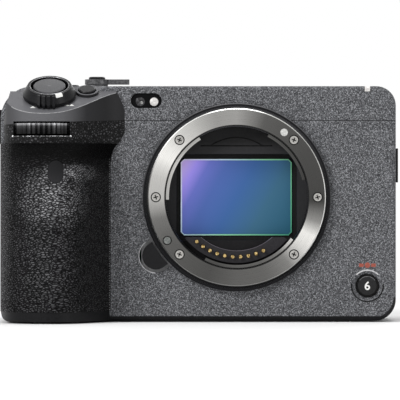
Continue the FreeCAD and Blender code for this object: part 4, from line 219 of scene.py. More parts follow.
def swap(finish, factor, *colours):
    """The first colour where the factor is 0, and the second where it is 1."""
    mixed = lay(finish, "ShaderNodeMix", data_type="RGBA")
    finish.node_tree.links.new(factor, mixed.inputs["Factor"])
    for number, colour in zip(COLOUR_INPUTS, colours):
        if isinstance(colour, bpy.types.NodeSocket):
            finish.node_tree.links.new(colour, mixed.inputs[number])
        else:
            mixed.inputs[number].default_value = (*colour, 1)
    return mixed.outputs[COLOUR_OUTPUT]


def how_far(finish, across, up):
    """How far away a place is that lies so far across and so far up."""
    flat = lay(finish, "ShaderNodeCombineXYZ", {"X": across, "Y": up}).outputs[0]
    return lay(finish, "ShaderNodeVectorMath", {0: flat}, operation="LENGTH").outputs["Value"]


FLECK = 0.00025
SEAM_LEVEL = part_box("front_cover")[1].z
SEAM_SHADE = 0.00011
speckled_paint = new_finish("speckled_paint", (0.09, 0.09, 0.098), 0.62, specular=0.15)
flecks = lay(speckled_paint, "ShaderNodeTexVoronoi", {
    "Vector": spot(speckled_paint), "Scale": 1 / FLECK}).outputs["Color"]
fleck_colour = shades(speckled_paint, flecks, (0.15, (0.022, 0.022, 0.0245)),
                      (0.34, (0.056, 0.057, 0.061)), (0.5, (0.084, 0.086, 0.092)),
                      (0.66, (0.114, 0.116, 0.124)), (0.85, (0.27, 0.275, 0.29)))
paint_place = axes(speckled_paint)
by_seam = beyond(speckled_paint, paint_place["Z"], SEAM_LEVEL, SEAM_SHADE)
in_seam = reckon(speckled_paint, "LESS_THAN", by_seam, 0.0)
# Painted shade: the rounded lower corner on the port side is painted black, up to the corner's middle.
CORNER_MIDDLE = Vector((0.0440, 0.0080))
CORNER_REACH = 0.0065
past_middle = reckon(speckled_paint, "SUBTRACT", paint_place["X"], CORNER_MIDDLE.x)
corner_across = reckon(speckled_paint, "MAXIMUM", past_middle, 0.0)
below_middle = reckon(speckled_paint, "SUBTRACT", CORNER_MIDDLE.y, paint_place["Z"])
corner_drop = reckon(speckled_paint, "MAXIMUM", below_middle, 0.0)
corner_reach = how_far(speckled_paint, corner_across, corner_drop)
past_corner = reckon(speckled_paint, "GREATER_THAN", corner_reach, CORNER_REACH)
below_corner = reckon(speckled_paint, "GREATER_THAN", corner_drop, 0.0)
corner_shade = reckon(speckled_paint, "MULTIPLY", past_corner, below_corner)
seam_and_corner_shade = reckon(speckled_paint, "MAXIMUM", in_seam, corner_shade)
wire(speckled_paint, swap(speckled_paint, seam_and_corner_shade, fleck_colour, (0.01, 0.01, 0.011)), "Base Color")
vary_gloss(speckled_paint, mottle(speckled_paint, 0.0009), 0.7, 0.5)
emboss(speckled_paint, mottle(speckled_paint, FLECK * 1.3), 0.00006, 0.5)
coat(speckled_paint, "front_cover", "top_cover", "rear_cover", "card_door")


# Black mouldings: base band, monitor housing, battery door and grip frame, of glass-filled nylon
# with a fine spark-eroded texture.
def clouded(finish, size, *stops, detail=2.0):
    """Colour a finish in soft clouds, and give the blobs to shape it by."""
    blobs = mottle(finish, size, detail)
    wire(finish, shades(finish, blobs, *stops), "Base Color")
    return blobs


MOULD_GRAIN = 0.00035
black_moulding = new_finish("black_moulding", (0.006, 0.006, 0.0065), 0.45, specular=0.12)
mould_grain = clouded(black_moulding, MOULD_GRAIN, (0.3, (0.003, 0.003, 0.0035)),
                      (0.7, (0.009, 0.009, 0.01)))
vary_gloss(black_moulding, mould_grain, 0.36, 0.52)
emboss(black_moulding, mould_grain, 0.00004, 0.35)
coat(black_moulding, "base_cover", "monitor", "battery_door", "grip_frame")

# Grip top: one moulding in two textures. Above a fine parting line it is satin smooth, and below
# it the leather grain of the grip goes on up to the line. Its nose's sheen and its lighter top are painted.
LINE_INNER = Vector((-0.036, 0.0649))
LINE_SLOPE = 0.04
LINE_HALF = 0.0001
NOSE_PEBBLE = 0.0008
nose_moulding = new_finish("nose_moulding", (0.006, 0.006, 0.0065), 0.5, specular=0.1)
nose_place = axes(nose_moulding)
line_drop = reckon(nose_moulding, "MULTIPLY_ADD", nose_place["X"], -LINE_SLOPE, nose_place["Z"])
line_level = LINE_INNER.y - LINE_SLOPE * LINE_INNER.x
above_line = carry(nose_moulding, line_drop, line_level - LINE_HALF, line_level + LINE_HALF, 0.0, 1.0)
nose_pebbles = lay(nose_moulding, "ShaderNodeTexVoronoi", {
    "Vector": spot(nose_moulding), "Scale": 1 / NOSE_PEBBLE}, feature="DISTANCE_TO_EDGE").outputs["Distance"]
nose_grain = carry(nose_moulding, nose_pebbles, 0.0, 0.35, 0.0, 1.0)
smooth_grain = carry(nose_moulding, mottle(nose_moulding, 0.00035), 0.2, 0.8, 0.8, 1.0)
nose_relief = lay(nose_moulding, "ShaderNodeMix", {"Factor": above_line, "A": nose_grain, "B": smooth_grain})
emboss(nose_moulding, nose_relief.outputs["Result"], 0.0001, 0.7)
# Painted sheen: the smooth nose is lighter round one point and darker away from it.
nose_middle = Vector((-0.0625, -0.04, 0.0672))
nose_reach = lay(nose_moulding, "ShaderNodeVectorMath", {0: spot(nose_moulding), 1: nose_middle},
                 operation="DISTANCE").outputs["Value"]
nose_sheen = shades(nose_moulding, carry(nose_moulding, nose_reach, 0.0, 0.026, 0.0, 1.0),
                    (0.0, (0.13, 0.13, 0.137)), (0.35, (0.1, 0.1, 0.106)), (0.7, (0.025, 0.025, 0.027)),
                    (1.0, (0.016, 0.016, 0.017)))
# Painted light: faces that look up are painted lighter, as if lit from above.
facing_up = lay(nose_moulding, "ShaderNodeSeparateXYZ", {
    "Vector": lay(nose_moulding, "ShaderNodeNewGeometry").outputs["True Normal"]}).outputs["Z"]
satin = swap(nose_moulding, carry(nose_moulding, facing_up, 0.6, 0.8, 0.0, 1.0), nose_sheen,
             (0.112, 0.112, 0.12))
pebbled = shades(nose_moulding, nose_relief.outputs["Result"], (0.0, (0.001, 0.001, 0.001)),
                 (0.6, (0.012, 0.012, 0.0125)), (1.0, (0.07, 0.07, 0.073)))
nose_colour = swap(nose_moulding, above_line, pebbled, satin)
on_parting = reckon(nose_moulding, "LESS_THAN", beyond(nose_moulding, line_drop, line_level, LINE_HALF), 0.0)
wire(nose_moulding, swap(nose_moulding, on_parting, nose_colour, (0.001, 0.001, 0.001)), "Base Color")
wire(nose_moulding, carry(nose_moulding, above_line, 0.0, 1.0, 0.55, 0.4), "Roughness")
coat(nose_moulding, "grip_top")

# Grip cover: soft black rubber moulded with a leather grain of irregular pebbles, with fine pores
# on them. Its lighter patches are a painted sheen, and high up it is painted darker, as shade under the nose.
LEATHER_PEBBLE = 0.0009
LEATHER_DRIFT = 0.0012
grip_leather = new_finish("grip_leather", (0.005, 0.005, 0.0055), 0.5, specular=0.04)
drift = mottle(grip_leather, 0.0025)
drift_step = reckon(grip_leather, "MULTIPLY", drift, LEATHER_DRIFT)
drift_all = lay(grip_leather, "ShaderNodeCombineXYZ", {"X": drift_step, "Y": drift_step, "Z": drift_step})
hide = lay(grip_leather, "ShaderNodeVectorMath", {
    0: spot(grip_leather, stretch=(0.65, 1, 1.6), turn=(0, math.radians(-24), 0)),
    1: drift_all.outputs[0]}, operation="ADD").outputs[0]
creases = lay(grip_leather, "ShaderNodeTexVoronoi", {
    "Vector": hide, "Scale": 1 / LEATHER_PEBBLE}, feature="DISTANCE_TO_EDGE").outputs["Distance"]
pebble = carry(grip_leather, creases, 0.0, 0.3, 0.0, 1.0)
pores = carry(grip_leather, mottle(grip_leather, 0.0003), 0.2, 0.8, 0.0, 0.25)
emboss(grip_leather, reckon(grip_leather, "ADD", pebble, pores), 0.00026)
hide_place = axes(grip_leather)


def sheen_patch(middle, reach, tilt=0.0, squeeze=1.0):
    """How strong the painted sheen is near a place seen from the front: 1 in the middle, 0 beyond its reach.
    """
    across = reckon(grip_leather, "SUBTRACT", hide_place["X"], middle[0])
    up = reckon(grip_leather, "SUBTRACT", hide_place["Z"], middle[1])
    flat = lay(grip_leather, "ShaderNodeCombineXYZ", {"X": across, "Y": up}).outputs[0]
    turned = lay(grip_leather, "ShaderNodeMapping", {
        "Vector": flat, "Rotation": (0, 0, math.radians(tilt)), "Scale": (1, squeeze, 1)}).outputs["Vector"]
    distance = lay(grip_leather, "ShaderNodeVectorMath", {0: turned}, operation="LENGTH").outputs["Value"]
    return carry(grip_leather, distance, 0.0, reach, 1.0, 0.0)


# Painted sheen: lighter patches on the bulge and a band up to the right, where a lamp's sheen lies.
bright_spot = sheen_patch((-0.0585, 0.0395), 0.012)
bright_band = sheen_patch((-0.0525, 0.0478), 0.009, -50, 2.6)
sheen_strip = sheen_patch((-0.0605, 0.019), 0.011, squeeze=0.36)
half_sheen = reckon(grip_leather, "MULTIPLY", sheen_strip, 0.2)
edge_sheen = carry(grip_leather, hide_place["X"], -0.0755, -0.0715, 0.22, 0.0)
hide_sheen = reckon(grip_leather, "MAXIMUM", half_sheen, edge_sheen)
for patch in (bright_spot, bright_band):
    hide_sheen = reckon(grip_leather, "MAXIMUM", hide_sheen, patch)
sheen_tops = shades(grip_leather, pebble, (0.0, (0.004, 0.004, 0.004)), (0.35, (0.055, 0.055, 0.058)),
                   (1.0, (0.42, 0.42, 0.435)))
low_hide = shades(grip_leather, pebble, (0.0, (0.0008, 0.0008, 0.0008)), (0.5, (0.012, 0.012, 0.0126)),
                  (1.0, (0.05, 0.05, 0.0525)))
shaded_high_hide = shades(grip_leather, pebble, (0.0, (0.0003, 0.0003, 0.0003)), (1.0, (0.0015, 0.0015, 0.0016)))
# Painted shade: above this height the hide is painted darker, as shade under the nose.
hide_with_shade_above = swap(grip_leather, carry(grip_leather, hide_place["Z"], 0.046, 0.0535, 0.0, 1.0),
                low_hide, shaded_high_hide)
wire(grip_leather, swap(grip_leather, hide_sheen, hide_with_shade_above, sheen_tops), "Base Color")
wire(grip_leather, carry(grip_leather, pebble, 0.0, 1.0, 0.65, 0.4), "Roughness")
coat(grip_leather, "grip_cover")

# Buttons, port doors and feet: satin black plastic or hard rubber with a faint grain. The buttons
# are caught behind their bores, the doors hang on hinge pins, and the feet are bonded to the base.
satin_black = new_finish("satin_black", (0.006, 0.006, 0.0065), 0.34, specular=0.15)
satin_grain = clouded(satin_black, 0.0005, (0.3, (0.004, 0.004, 0.0045)), (0.7, (0.009, 0.009, 0.01)))
vary_gloss(satin_black, satin_grain, 0.28, 0.42)
emboss(satin_black, satin_grain, 0.00002, 0.3)
coat(satin_black, "deck_button", "top_button_outer", "top_button_inner", "record_button",
     "front_record_button", "release_button", "menu_button", "function_button", "playback_button",
     "centre_button", "joystick", "audio_door", "data_door", "base_feet")

# Lens mount: a ring of stainless steel turned on a lathe, held by six screws. Its tool marks run
# round the axis. The fan of light and dark that such marks give is painted highlight and shade by
# angle, so it stays in its place. Its bright rim and a dark line at the groove are painted too.
AXIS_Z = sum(corner.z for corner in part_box("lens_mount")) / 2
TOOL_MARK = 0.00012
turned_steel = new_finish("turned_steel", (0.2, 0.19, 0.175), 0.3, metallic=1.0)
steel_shader = turned_steel.node_tree.nodes["Principled BSDF"]
steel_shader.inputs["Anisotropic"].default_value = 0.85


def place_on_face(finish):
    """A point's place across and up from the optical axis."""
    place = axes(finish)
    up = reckon(finish, "SUBTRACT", place["Z"], AXIS_Z)
    return place["X"], up


ring_across, ring_up = place_on_face(turned_steel)
ring_reach = how_far(turned_steel, ring_across, ring_up)
tool_marks = lay(turned_steel, "ShaderNodeTexNoise", {"W": ring_reach, "Scale": 1 / TOOL_MARK, "Detail": 2.0},
                 noise_dimensions="1D").outputs["Fac"]
ring_turn = reckon(turned_steel, "ARCTAN2", ring_up, ring_across)
# Painted highlights and shade: the ring's tone by angle round the axis.
fan_tones_painted = [(-180, 0.5), (-165, 0.18), (-145, 0.12), (-110, 0.09), (-90, 0.13), (-70, 0.14), (-52, 0.2),
            (-38, 0.5), (-27, 0.72), (-17, 0.28), (-3, 0.06), (18, 0.07), (45, 0.09), (70, 0.12), (90, 0.36),
            (105, 0.34), (122, 0.5), (138, 0.5), (152, 0.7), (166, 0.56), (180, 0.5)]
painted_fan = shades(turned_steel, carry(turned_steel, ring_turn, -math.pi, math.pi, 0.0, 1.0),
                 *[((turn + 180) / 360, (tone, tone * 0.985, tone * 0.95)) for turn, tone in fan_tones_painted])
scored = lay(turned_steel, "ShaderNodeVectorMath", {
    0: painted_fan, 1: shades(turned_steel, tool_marks, (0.3, (0.8, 0.8, 0.8)), (0.7, (1.0, 1.0, 1.0)))},
    operation="MULTIPLY").outputs[0]
RIM_REACH = 0.02832
on_rim = reckon(turned_steel, "GREATER_THAN", ring_reach, RIM_REACH)
# Painted highlight: the outer rim is lighter or darker by angle.
rim_painted_highlight = shades(turned_steel, carry(turned_steel, ring_turn, -math.pi, math.pi, 0.0, 1.0),
                  (0.0, (0.7, 0.7, 0.68)), (0.12, (0.3, 0.3, 0.29)), (0.3, (0.35, 0.35, 0.34)),
                  (0.45, (0.9, 0.9, 0.88)), (0.6, (0.6, 0.6, 0.58)), (0.75, (1.0, 1.0, 0.98)),
                  (1.0, (0.8, 0.8, 0.78)))
# Painted shade: a dark line where the tabs meet the bore.
GROOVE_REACH = 0.02305
GROOVE_HALF = 0.00024
past_groove = beyond(turned_steel, ring_reach, GROOVE_REACH, GROOVE_HALF)
on_groove = reckon(turned_steel, "LESS_THAN", past_groove, 0.0)
groove_painted_shade = swap(turned_steel, on_groove, scored, (0.02, 0.02, 0.02))
wire(turned_steel, swap(turned_steel, on_rim, groove_painted_shade, rim_painted_highlight), "Base Color")
vary_gloss(turned_steel, tool_marks, 0.26, 0.38)
away_from_axis = lay(turned_steel, "ShaderNodeCombineXYZ", {"X": ring_across, "Z": ring_up}).outputs[0]
wire(turned_steel, lay(turned_steel, "ShaderNodeVectorMath", {0: away_from_axis},
                       operation="NORMALIZE").outputs[0], "Tangent")
coat(turned_steel, "lens_mount")


# Index dot: pale grey enamel, laid on the steel ring and baked, where the lens is offered up.
# It stands a hair proud of the ring.
def rounded_off(name, mesh):
    """The mesh of a piece that was shaped face by face, shaded smooth."""
    bmesh.ops.recalc_face_normals(mesh, faces=mesh.faces)
    made = bpy.data.meshes.new(name)
    mesh.to_mesh(made)
    mesh.free()
    made.shade_smooth()
    return made


def turned_mesh(name, profile, start=0.0, sweep=360.0, rounds=48):
    """A round piece, or a sector of one, about its own Z axis, from points of radius and height."""
    mesh = bmesh.new()
    rings = []
    whole = sweep == 360
    for radius, height in profile:
        spokes = (rounds if whole else rounds + 1) if radius else 1
        angles = [math.radians(start + sweep * step / rounds) for step in range(spokes)]
        rings.append([mesh.verts.new((radius * math.cos(angle), radius * math.sin(angle), height))
                      for angle in angles])
    for inner, outer in zip(rings, rings[1:]):
        for step in range(rounds):
            corners = [inner[step % len(inner)], outer[step % len(outer)],
                       outer[(step + 1) % len(outer)], inner[(step + 1) % len(inner)]]
            mesh.faces.new(list(dict.fromkeys(corners)))
    return rounded_off(name, mesh)


def fit(name, mesh, place, facing, finish, body):
    """Put a piece in its place, give it its finish, and let it ride on a body."""
    piece = bpy.data.objects.new(name, mesh)
    piece.matrix_world = Matrix.Translation(place) @ facing
    bpy.context.scene.collection.objects.link(piece)
    mesh.materials.append(finish)
    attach(piece, body)
    return piece


FACING_FRONT = Matrix.Rotation(math.radians(90), 4, "X")
INDEX_ANGLE = math.radians(53.8)
INDEX_CIRCLE = 0.0258
INDEX_RADIUS = 0.0012
grey_enamel = new_finish("grey_enamel", (0.55, 0.55, 0.54), 0.35)
clouded(grey_enamel, 0.0006, (0.3, (0.4, 0.4, 0.39)), (0.7, (0.62, 0.62, 0.6)))
index_place = (INDEX_CIRCLE * math.cos(INDEX_ANGLE), FLANGE_Y, AXIS_Z + INDEX_CIRCLE * math.sin(INDEX_ANGLE))
fit("index_dot", turned_mesh("index_dot", [(INDEX_RADIUS, 0), (INDEX_RADIUS * 0.94, 0.00003),
                                           (INDEX_RADIUS * 0.5, 0.00005), (0, 0.00005)]),
    index_place, FACING_FRONT, grey_enamel, "root")

# Small steel: mount and cover screws, accessory shoe, threaded inserts and socket shells, pressed
# or turned and left bright.
bright_steel = new_finish("bright_steel", (0.5, 0.49, 0.47), 0.3, metallic=1.0)
steel_grain = clouded(bright_steel, 0.0004, (0.3, (0.36, 0.35, 0.33)), (0.7, (0.52, 0.51, 0.49)),
                      detail=3.0)
vary_gloss(bright_steel, steel_grain, 0.24, 0.4)
coat(bright_steel, "mount_screws", "cover_screws", "accessory_shoe", "thread_sockets", "port_sockets")

# Mount screws: six steel screws with a cross slot hold the ring. Black painted shade fills the gap
# round each head and the bottom of its slot.
SCREW_CIRCLE = 0.026
SCREW_TURNS = (0, 45, 135, 180, 225, 315)
HEAD_RADIUS = 0.0013
HEAD_GAP = 0.00035
SLOT_REACH = 0.00078
SLOT_HALF = 0.00016
SLOT_TURN = 20
head_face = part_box("mount_screws")[0].y
# Painted shade: flat black rings round the heads and black crosses in the slots.
painted_shade_black = new_finish("painted_shade_black", (0.005, 0.005, 0.005), 0.6, specular=0.05)
clouded(painted_shade_black, 0.0006, (0.3, (0.003, 0.003, 0.003)), (0.7, (0.012, 0.012, 0.012)))
for number, turn in enumerate(SCREW_TURNS, 1):
    screw_x = SCREW_CIRCLE * math.cos(math.radians(turn))
    screw_z = AXIS_Z + SCREW_CIRCLE * math.sin(math.radians(turn))
    fit(f"painted_shade_black_{number}", turned_mesh(f"painted_shade_black_{number}", [
        (HEAD_RADIUS, 0), (HEAD_RADIUS + HEAD_GAP, 0)], rounds=32),
        (screw_x, FLANGE_Y + 0.00008, screw_z), FACING_FRONT, painted_shade_black, "root")
    slot_mesh = bpy.data.meshes.new(f"slot_shade_{number}")
    arms = []
    for long_side, short_side in ((SLOT_REACH, SLOT_HALF), (SLOT_HALF, SLOT_REACH)):
        arms += [(-long_side, -short_side, 0), (long_side, -short_side, 0), (long_side, short_side, 0),
                 (-long_side, short_side, 0)]
    slot_mesh.from_pydata(arms, [], [(0, 1, 2, 3), (4, 5, 6, 7)])
    slot_facing = FACING_FRONT @ Matrix.Rotation(math.radians(turn + SLOT_TURN), 4, "Z")
    fit(f"slot_shade_{number}", slot_mesh, (screw_x, head_face - 0.00002, screw_z), slot_facing,
        painted_shade_black, "root")

# Lock pin: hardened steel, browned by its heat treatment. It slides in the ring, and drops into a
# slot of the lens.
tempered_steel = new_finish("tempered_steel", (0.2, 0.21, 0.2), 0.35, metallic=1.0)
clouded(tempered_steel, 0.0006, (0.3, (0.13, 0.14, 0.135)), (0.7, (0.26, 0.27, 0.26)))
coat(tempered_steel, "lock_pin")

# Zoom lever, control wheel, strap lugs and the monitor's bracket: black anodised aluminium, turned
# or milled, with a tight sheen.
black_anodised = new_finish("black_anodised", (0.008, 0.008, 0.009), 0.32, metallic=0.2, specular=0.16)
anodised_grain = clouded(black_anodised, 0.0003, (0.3, (0.005, 0.005, 0.006)), (0.7, (0.011, 0.011, 0.012)))
vary_gloss(black_anodised, anodised_grain, 0.26, 0.4)
emboss(black_anodised, anodised_grain, 0.00001, 0.3)
coat(black_anodised, "monitor_bracket", "strap_lugs", "zoom_lever", "control_wheel")

# Bezel: black anodised like the zoom lever, with its outermost edge turned bright again and a grey
# blasted floor next to the steel ring. Their light is painted: lighter above, fading to black below.
bezel_metal = new_finish("bezel_metal", (0.008, 0.008, 0.009), 0.35, specular=0.12)
bezel_across, bezel_up = place_on_face(bezel_metal)
bezel_reach = how_far(bezel_metal, bezel_across, bezel_up)
BEZEL_FLOOR = 0.0286
BEZEL_EDGE = 0.0302
bezel_bands = shades(bezel_metal, carry(bezel_metal, bezel_reach, BEZEL_FLOOR, BEZEL_EDGE, 0.0, 1.0),
                     (0.0, (0.06, 0.06, 0.064)), (0.42, (0.05, 0.05, 0.054)), (0.52, (0.004, 0.004, 0.005)),
                     (0.84, (0.006, 0.006, 0.007)), (0.93, (0.1, 0.1, 0.105)), (1.0, (0.16, 0.16, 0.165)))
# Painted light: the bands show on the upper half and fade to black on the lower half.
bezel_top_light = carry(bezel_metal, bezel_up, -0.01, 0.024, 0.0, 1.0)
wire(bezel_metal, swap(bezel_metal, bezel_top_light, (0.005, 0.005, 0.006), bezel_bands), "Base Color")
vary_gloss(bezel_metal, mottle(bezel_metal, 0.0005), 0.28, 0.42)
coat(bezel_metal, "mount_bezel")

# Power lever: milled from aluminium, blasted and anodised grey. Its ring turns round the top record
# button.
lever_grey = new_finish("lever_grey", (0.09, 0.09, 0.095), 0.4, metallic=0.4, specular=0.2)
clouded(lever_grey, 0.0007, (0.3, (0.06, 0.06, 0.063)), (0.7, (0.15, 0.15, 0.155)))
coat(lever_grey, "power_lever")

# Dials: knurled aluminium, anodised dark, with a painted highlight on the crests at the top. The
# front one turns in the window of the grip top, and the rear one in a slot of the top cover.
knurled_metal = new_finish("knurled_metal", (0.05, 0.05, 0.052), 0.3, metallic=0.85)
knurl_grain = mottle(knurled_metal, 0.0004)
knurl_place = axes(knurled_metal)
dial_low, dial_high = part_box("front_dial")
# Painted light: dark low on the dial, with a painted highlight near its top.
crest_highlight = carry(knurled_metal, knurl_place["Z"], dial_low.z, dial_high.z, 0.0, 1.0)
wire(knurled_metal, shades(knurled_metal, crest_highlight, (0.0, (0.008, 0.008, 0.008)), (0.45, (0.02, 0.02, 0.021)),
                           (0.75, (0.06, 0.06, 0.062)), (0.93, (0.35, 0.35, 0.36))), "Base Color")
vary_gloss(knurled_metal, knurl_grain, 0.24, 0.4)
coat(knurled_metal, "front_dial", "rear_dial")

# Shutter button: turned from aluminium, finely blasted and anodised grey. It slides in the zoom
# lever's ring.
blasted_metal = new_finish("blasted_metal", (0.07, 0.07, 0.074), 0.42, metallic=0.5, specular=0.2)
blasted_grain = clouded(blasted_metal, 0.0002, (0.3, (0.05, 0.05, 0.053)), (0.7, (0.085, 0.085, 0.09)))
emboss(blasted_metal, blasted_grain, 0.00001, 0.3)
coat(blasted_metal, "shutter_button")

# Inside of the mount and the body: the shutter's frame and thin blades, blackened against stray
# light, and the black mouldings of card unit, fan and battery.
light_trap = new_finish("light_trap", (0.006, 0.006, 0.006), 0.7, specular=0.2)
trap_grain = clouded(light_trap, 0.0006, (0.3, (0.004, 0.004, 0.004)), (0.7, (0.009, 0.009, 0.009)))
emboss(light_trap, trap_grain, 0.00004, 0.4)
coat(light_trap, "shutter_frame", "shutter_blade_1", "shutter_blade_2",
     "shutter_blade_3", "card_unit", "fan_rotor", "battery")

# Light baffle: black moulding in the throat, with a sloping wall over the chamber's mouth painted
# lighter as if lit from above, and a fine step in the shape of a low arch over it.
baffle_black = new_finish("baffle_black", (0.006, 0.006, 0.006), 0.7, specular=0.15)
baffle_across, baffle_up = place_on_face(baffle_black)
# Painted light: the sloping wall over the chamber's mouth is lighter.
baffle_wall_light = shades(baffle_black, carry(baffle_black, baffle_up, 0.0, 0.02, 0.0, 1.0),
                     (0.0, (0.009, 0.0085, 0.0095)), (0.64, (0.009, 0.0085, 0.0095)),
                     (0.68, (0.024, 0.024, 0.026)), (0.82, (0.02, 0.02, 0.021)),
                     (0.9, (0.013, 0.013, 0.0135)))
FLANK = 0.0195
on_flank = reckon(baffle_black, "GREATER_THAN", beyond(baffle_black, baffle_across, 0.0, FLANK), 0.0)
wire(baffle_black, swap(baffle_black, on_flank, baffle_wall_light, (0.024, 0.024, 0.0255)), "Base Color")
vary_gloss(baffle_black, mottle(baffle_black, 0.0006), 0.6, 0.8)
coat(baffle_black, "light_baffle")

# Contact block: moulded in a dark plum-grey nylon, with a painted highlight line along its inner
# arc, where a fine raised ridge catches the light, and screwed in behind the ring.
block_nylon = new_finish("block_nylon", (0.022, 0.02, 0.025), 0.5, specular=0.1)
block_grain = mottle(block_nylon, 0.0005)
block_across, block_up = place_on_face(block_nylon)
block_reach = how_far(block_nylon, block_across, block_up)
# Painted highlight: a light line along the inner arc.
RIDGE_REACH = 0.0172
RIDGE_HALF = 0.00013
ridge_highlight = reckon(block_nylon, "LESS_THAN", beyond(block_nylon, block_reach, RIDGE_REACH, RIDGE_HALF), 0.0)
wire(block_nylon, swap(block_nylon, ridge_highlight,
                       shades(block_nylon, block_grain, (0.3, (0.018, 0.017, 0.0195)),
                              (0.7, (0.027, 0.026, 0.029))),
                       (0.1, 0.09, 0.105)), "Base Color")
emboss(block_nylon, block_grain, 0.00003, 0.3)
coat(block_nylon, "contact_block")

# Contacts: ten spring pins plated with gold, darker where the lens has rubbed them. They slide in
# the bores of the contact block.
pin_gold = new_finish("pin_gold", (0.4, 0.28, 0.1), 0.3, metallic=1.0)
clouded(pin_gold, 0.0005, (0.4, (0.16, 0.1, 0.03)), (0.6, (0.75, 0.55, 0.25)))
coat(pin_gold, "contact_pins")

# Chassis, sensor carriers, heat spreader and gimbal: cast or rolled aluminium, left raw, since the
# covers hide them.
raw_casting = new_finish("raw_casting", (0.4, 0.4, 0.41), 0.5, metallic=0.9)
casting_grain = clouded(raw_casting, 0.0008, (0.3, (0.32, 0.32, 0.33)), (0.7, (0.5, 0.5, 0.51)), detail=3.0)
emboss(raw_casting, casting_grain, 0.00003, 0.4)
coat(raw_casting, "chassis", "sensor_frame", "sensor_base", "cooling_duct", "joystick_gimbal")

# Main board: glass laminate under green lacquer, with its processor. It lies upright behind the
# sensor's carriers.
board_lacquer = new_finish("board_lacquer", (0.02, 0.09, 0.05), 0.35)
clouded(board_lacquer, 0.002, (0.4, (0.012, 0.06, 0.035)), (0.6, (0.03, 0.12, 0.065)), detail=3.0)
coat(board_lacquer, "main_board")

# Image sensor: silicon under a cover glass whose coating shows a painted reflection, from violet at
# the grip's side to green at the port side. A painted glint runs round the live area; outside it is black.
LIVE_WIDE = 0.0361
LIVE_TALL = 0.02485
LIVE_EDGE = 0.0004
sensor_low, sensor_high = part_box("image_sensor")
sensor_middle = (sensor_low + sensor_high) / 2
sensor_face = new_finish("sensor_face", (0.1, 0.15, 0.5), 0.4, metallic=0.85, specular=0.1)
face_place = axes(sensor_face)
across = carry(sensor_face, face_place["X"], sensor_middle.x - LIVE_WIDE / 2,
               sensor_middle.x + LIVE_WIDE / 2, 0.0, 0.72)
down = carry(sensor_face, face_place["Z"], sensor_middle.z + LIVE_TALL / 2,
             sensor_middle.z - LIVE_TALL / 2, 0.0, 0.28)
slant = reckon(sensor_face, "ADD", across, down)
# Painted reflection in the coating, and a painted glint along the edge of the live area.
coating_reflection = shades(sensor_face, slant, (0.0, (0.75, 0.56, 1.0)), (0.12, (0.38, 0.31, 0.92)),
                 (0.2, (0.16, 0.19, 0.6)), (0.32, (0.09, 0.155, 0.45)), (0.5, (0.055, 0.135, 0.35)),
                 (0.72, (0.052, 0.145, 0.235)), (1.0, (0.028, 0.118, 0.185)))
edge_glint = shades(sensor_face, slant, (0.0, (0.8, 0.75, 1.0)), (0.3, (0.6, 0.8, 0.9)),
                   (0.55, (0.3, 0.7, 0.4)), (1.0, (0.08, 0.4, 0.25)))
LIVE_CORNER = 0.0011
past_side = beyond(sensor_face, face_place["X"], sensor_middle.x, LIVE_WIDE / 2)
past_top = beyond(sensor_face, face_place["Z"], sensor_middle.z, LIVE_TALL / 2)
past_slant = reckon(sensor_face, "ADD", reckon(sensor_face, "ADD", past_side, past_top), LIVE_CORNER)
past_edge = reckon(sensor_face, "MAXIMUM", reckon(sensor_face, "MAXIMUM", past_side, past_top), past_slant)
on_line = reckon(sensor_face, "GREATER_THAN", past_edge, -LIVE_EDGE)
outside = reckon(sensor_face, "GREATER_THAN", past_edge, 0.0)
live_colour = swap(sensor_face, on_line, coating_reflection, edge_glint)
wire(sensor_face, swap(sensor_face, outside, live_colour, (0.01, 0.01, 0.012)), "Base Color")
coat(sensor_face, "image_sensor")

# Screen and windows: smoked glass over the monitor, and matt smoked panes over the infrared window
# and the front sensor.
smoked_glass = new_finish("smoked_glass", (0.008, 0.008, 0.009), 0.12, specular=0.35)
glass_haze = mottle(smoked_glass, 0.006, 3.0)
vary_gloss(smoked_glass, glass_haze, 0.08, 0.16)
wire(smoked_glass, shades(smoked_glass, glass_haze, (0.3, (0.006, 0.006, 0.007)), (0.7, (0.01, 0.01, 0.012))),
     "Base Color")
coat(smoked_glass, "monitor_screen")
pane_glass = new_finish("pane_glass", (0.008, 0.008, 0.009), 0.5, specular=0.05)
pane_place = axes(pane_glass)
PANE_FOOT = 0.045
PANE_TOP = 0.052
# Painted sheen: the pane is lighter towards its foot and dark above.
pane_foot_sheen = carry(pane_glass, pane_place["Z"], PANE_FOOT, PANE_TOP, 1.0, 0.0)
wire(pane_glass, shades(pane_glass, pane_foot_sheen, (0.0, (0.003, 0.003, 0.0035)), (1.0, (0.022, 0.022, 0.0235))),
     "Base Color")
vary_gloss(pane_glass, mottle(pane_glass, 0.004), 0.45, 0.55)
coat(pane_glass, "window_panes")

# Tally lamp: a frosted white lens, moulded in plastic and pressed into a notch of the top cover.
# The lamp behind it is off.
frosted_lens = new_finish("frosted_lens", (0.62, 0.6, 0.58), 0.4)
clouded(frosted_lens, 0.0008, (0.3, (0.5, 0.48, 0.47)), (0.7, (0.74, 0.72, 0.7)))
coat(frosted_lens, "tally_lamp")

# Deck's edge: the smooth upper texture ends at the front in a fine rounded lip, whose grey is a
# painted highlight where it catches the light.
DECK_LIP = Vector((0.0, -0.0336, 0.0676))
DECK_TILT = math.radians(28)


def front_of(node, x, z):
    """The point where a line from straight ahead meets a piece."""
    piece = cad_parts[node]
    inwards = piece.matrix_world.inverted()
    struck, place, _, _ = piece.ray_cast(inwards @ Vector((x, -0.2, z)), inwards.to_3x3() @ Vector((0, 1, 0)))
    if not struck:
        raise RuntimeError(f"{node} is not ahead of x {x}, z {z}")
    return piece.matrix_world @ place


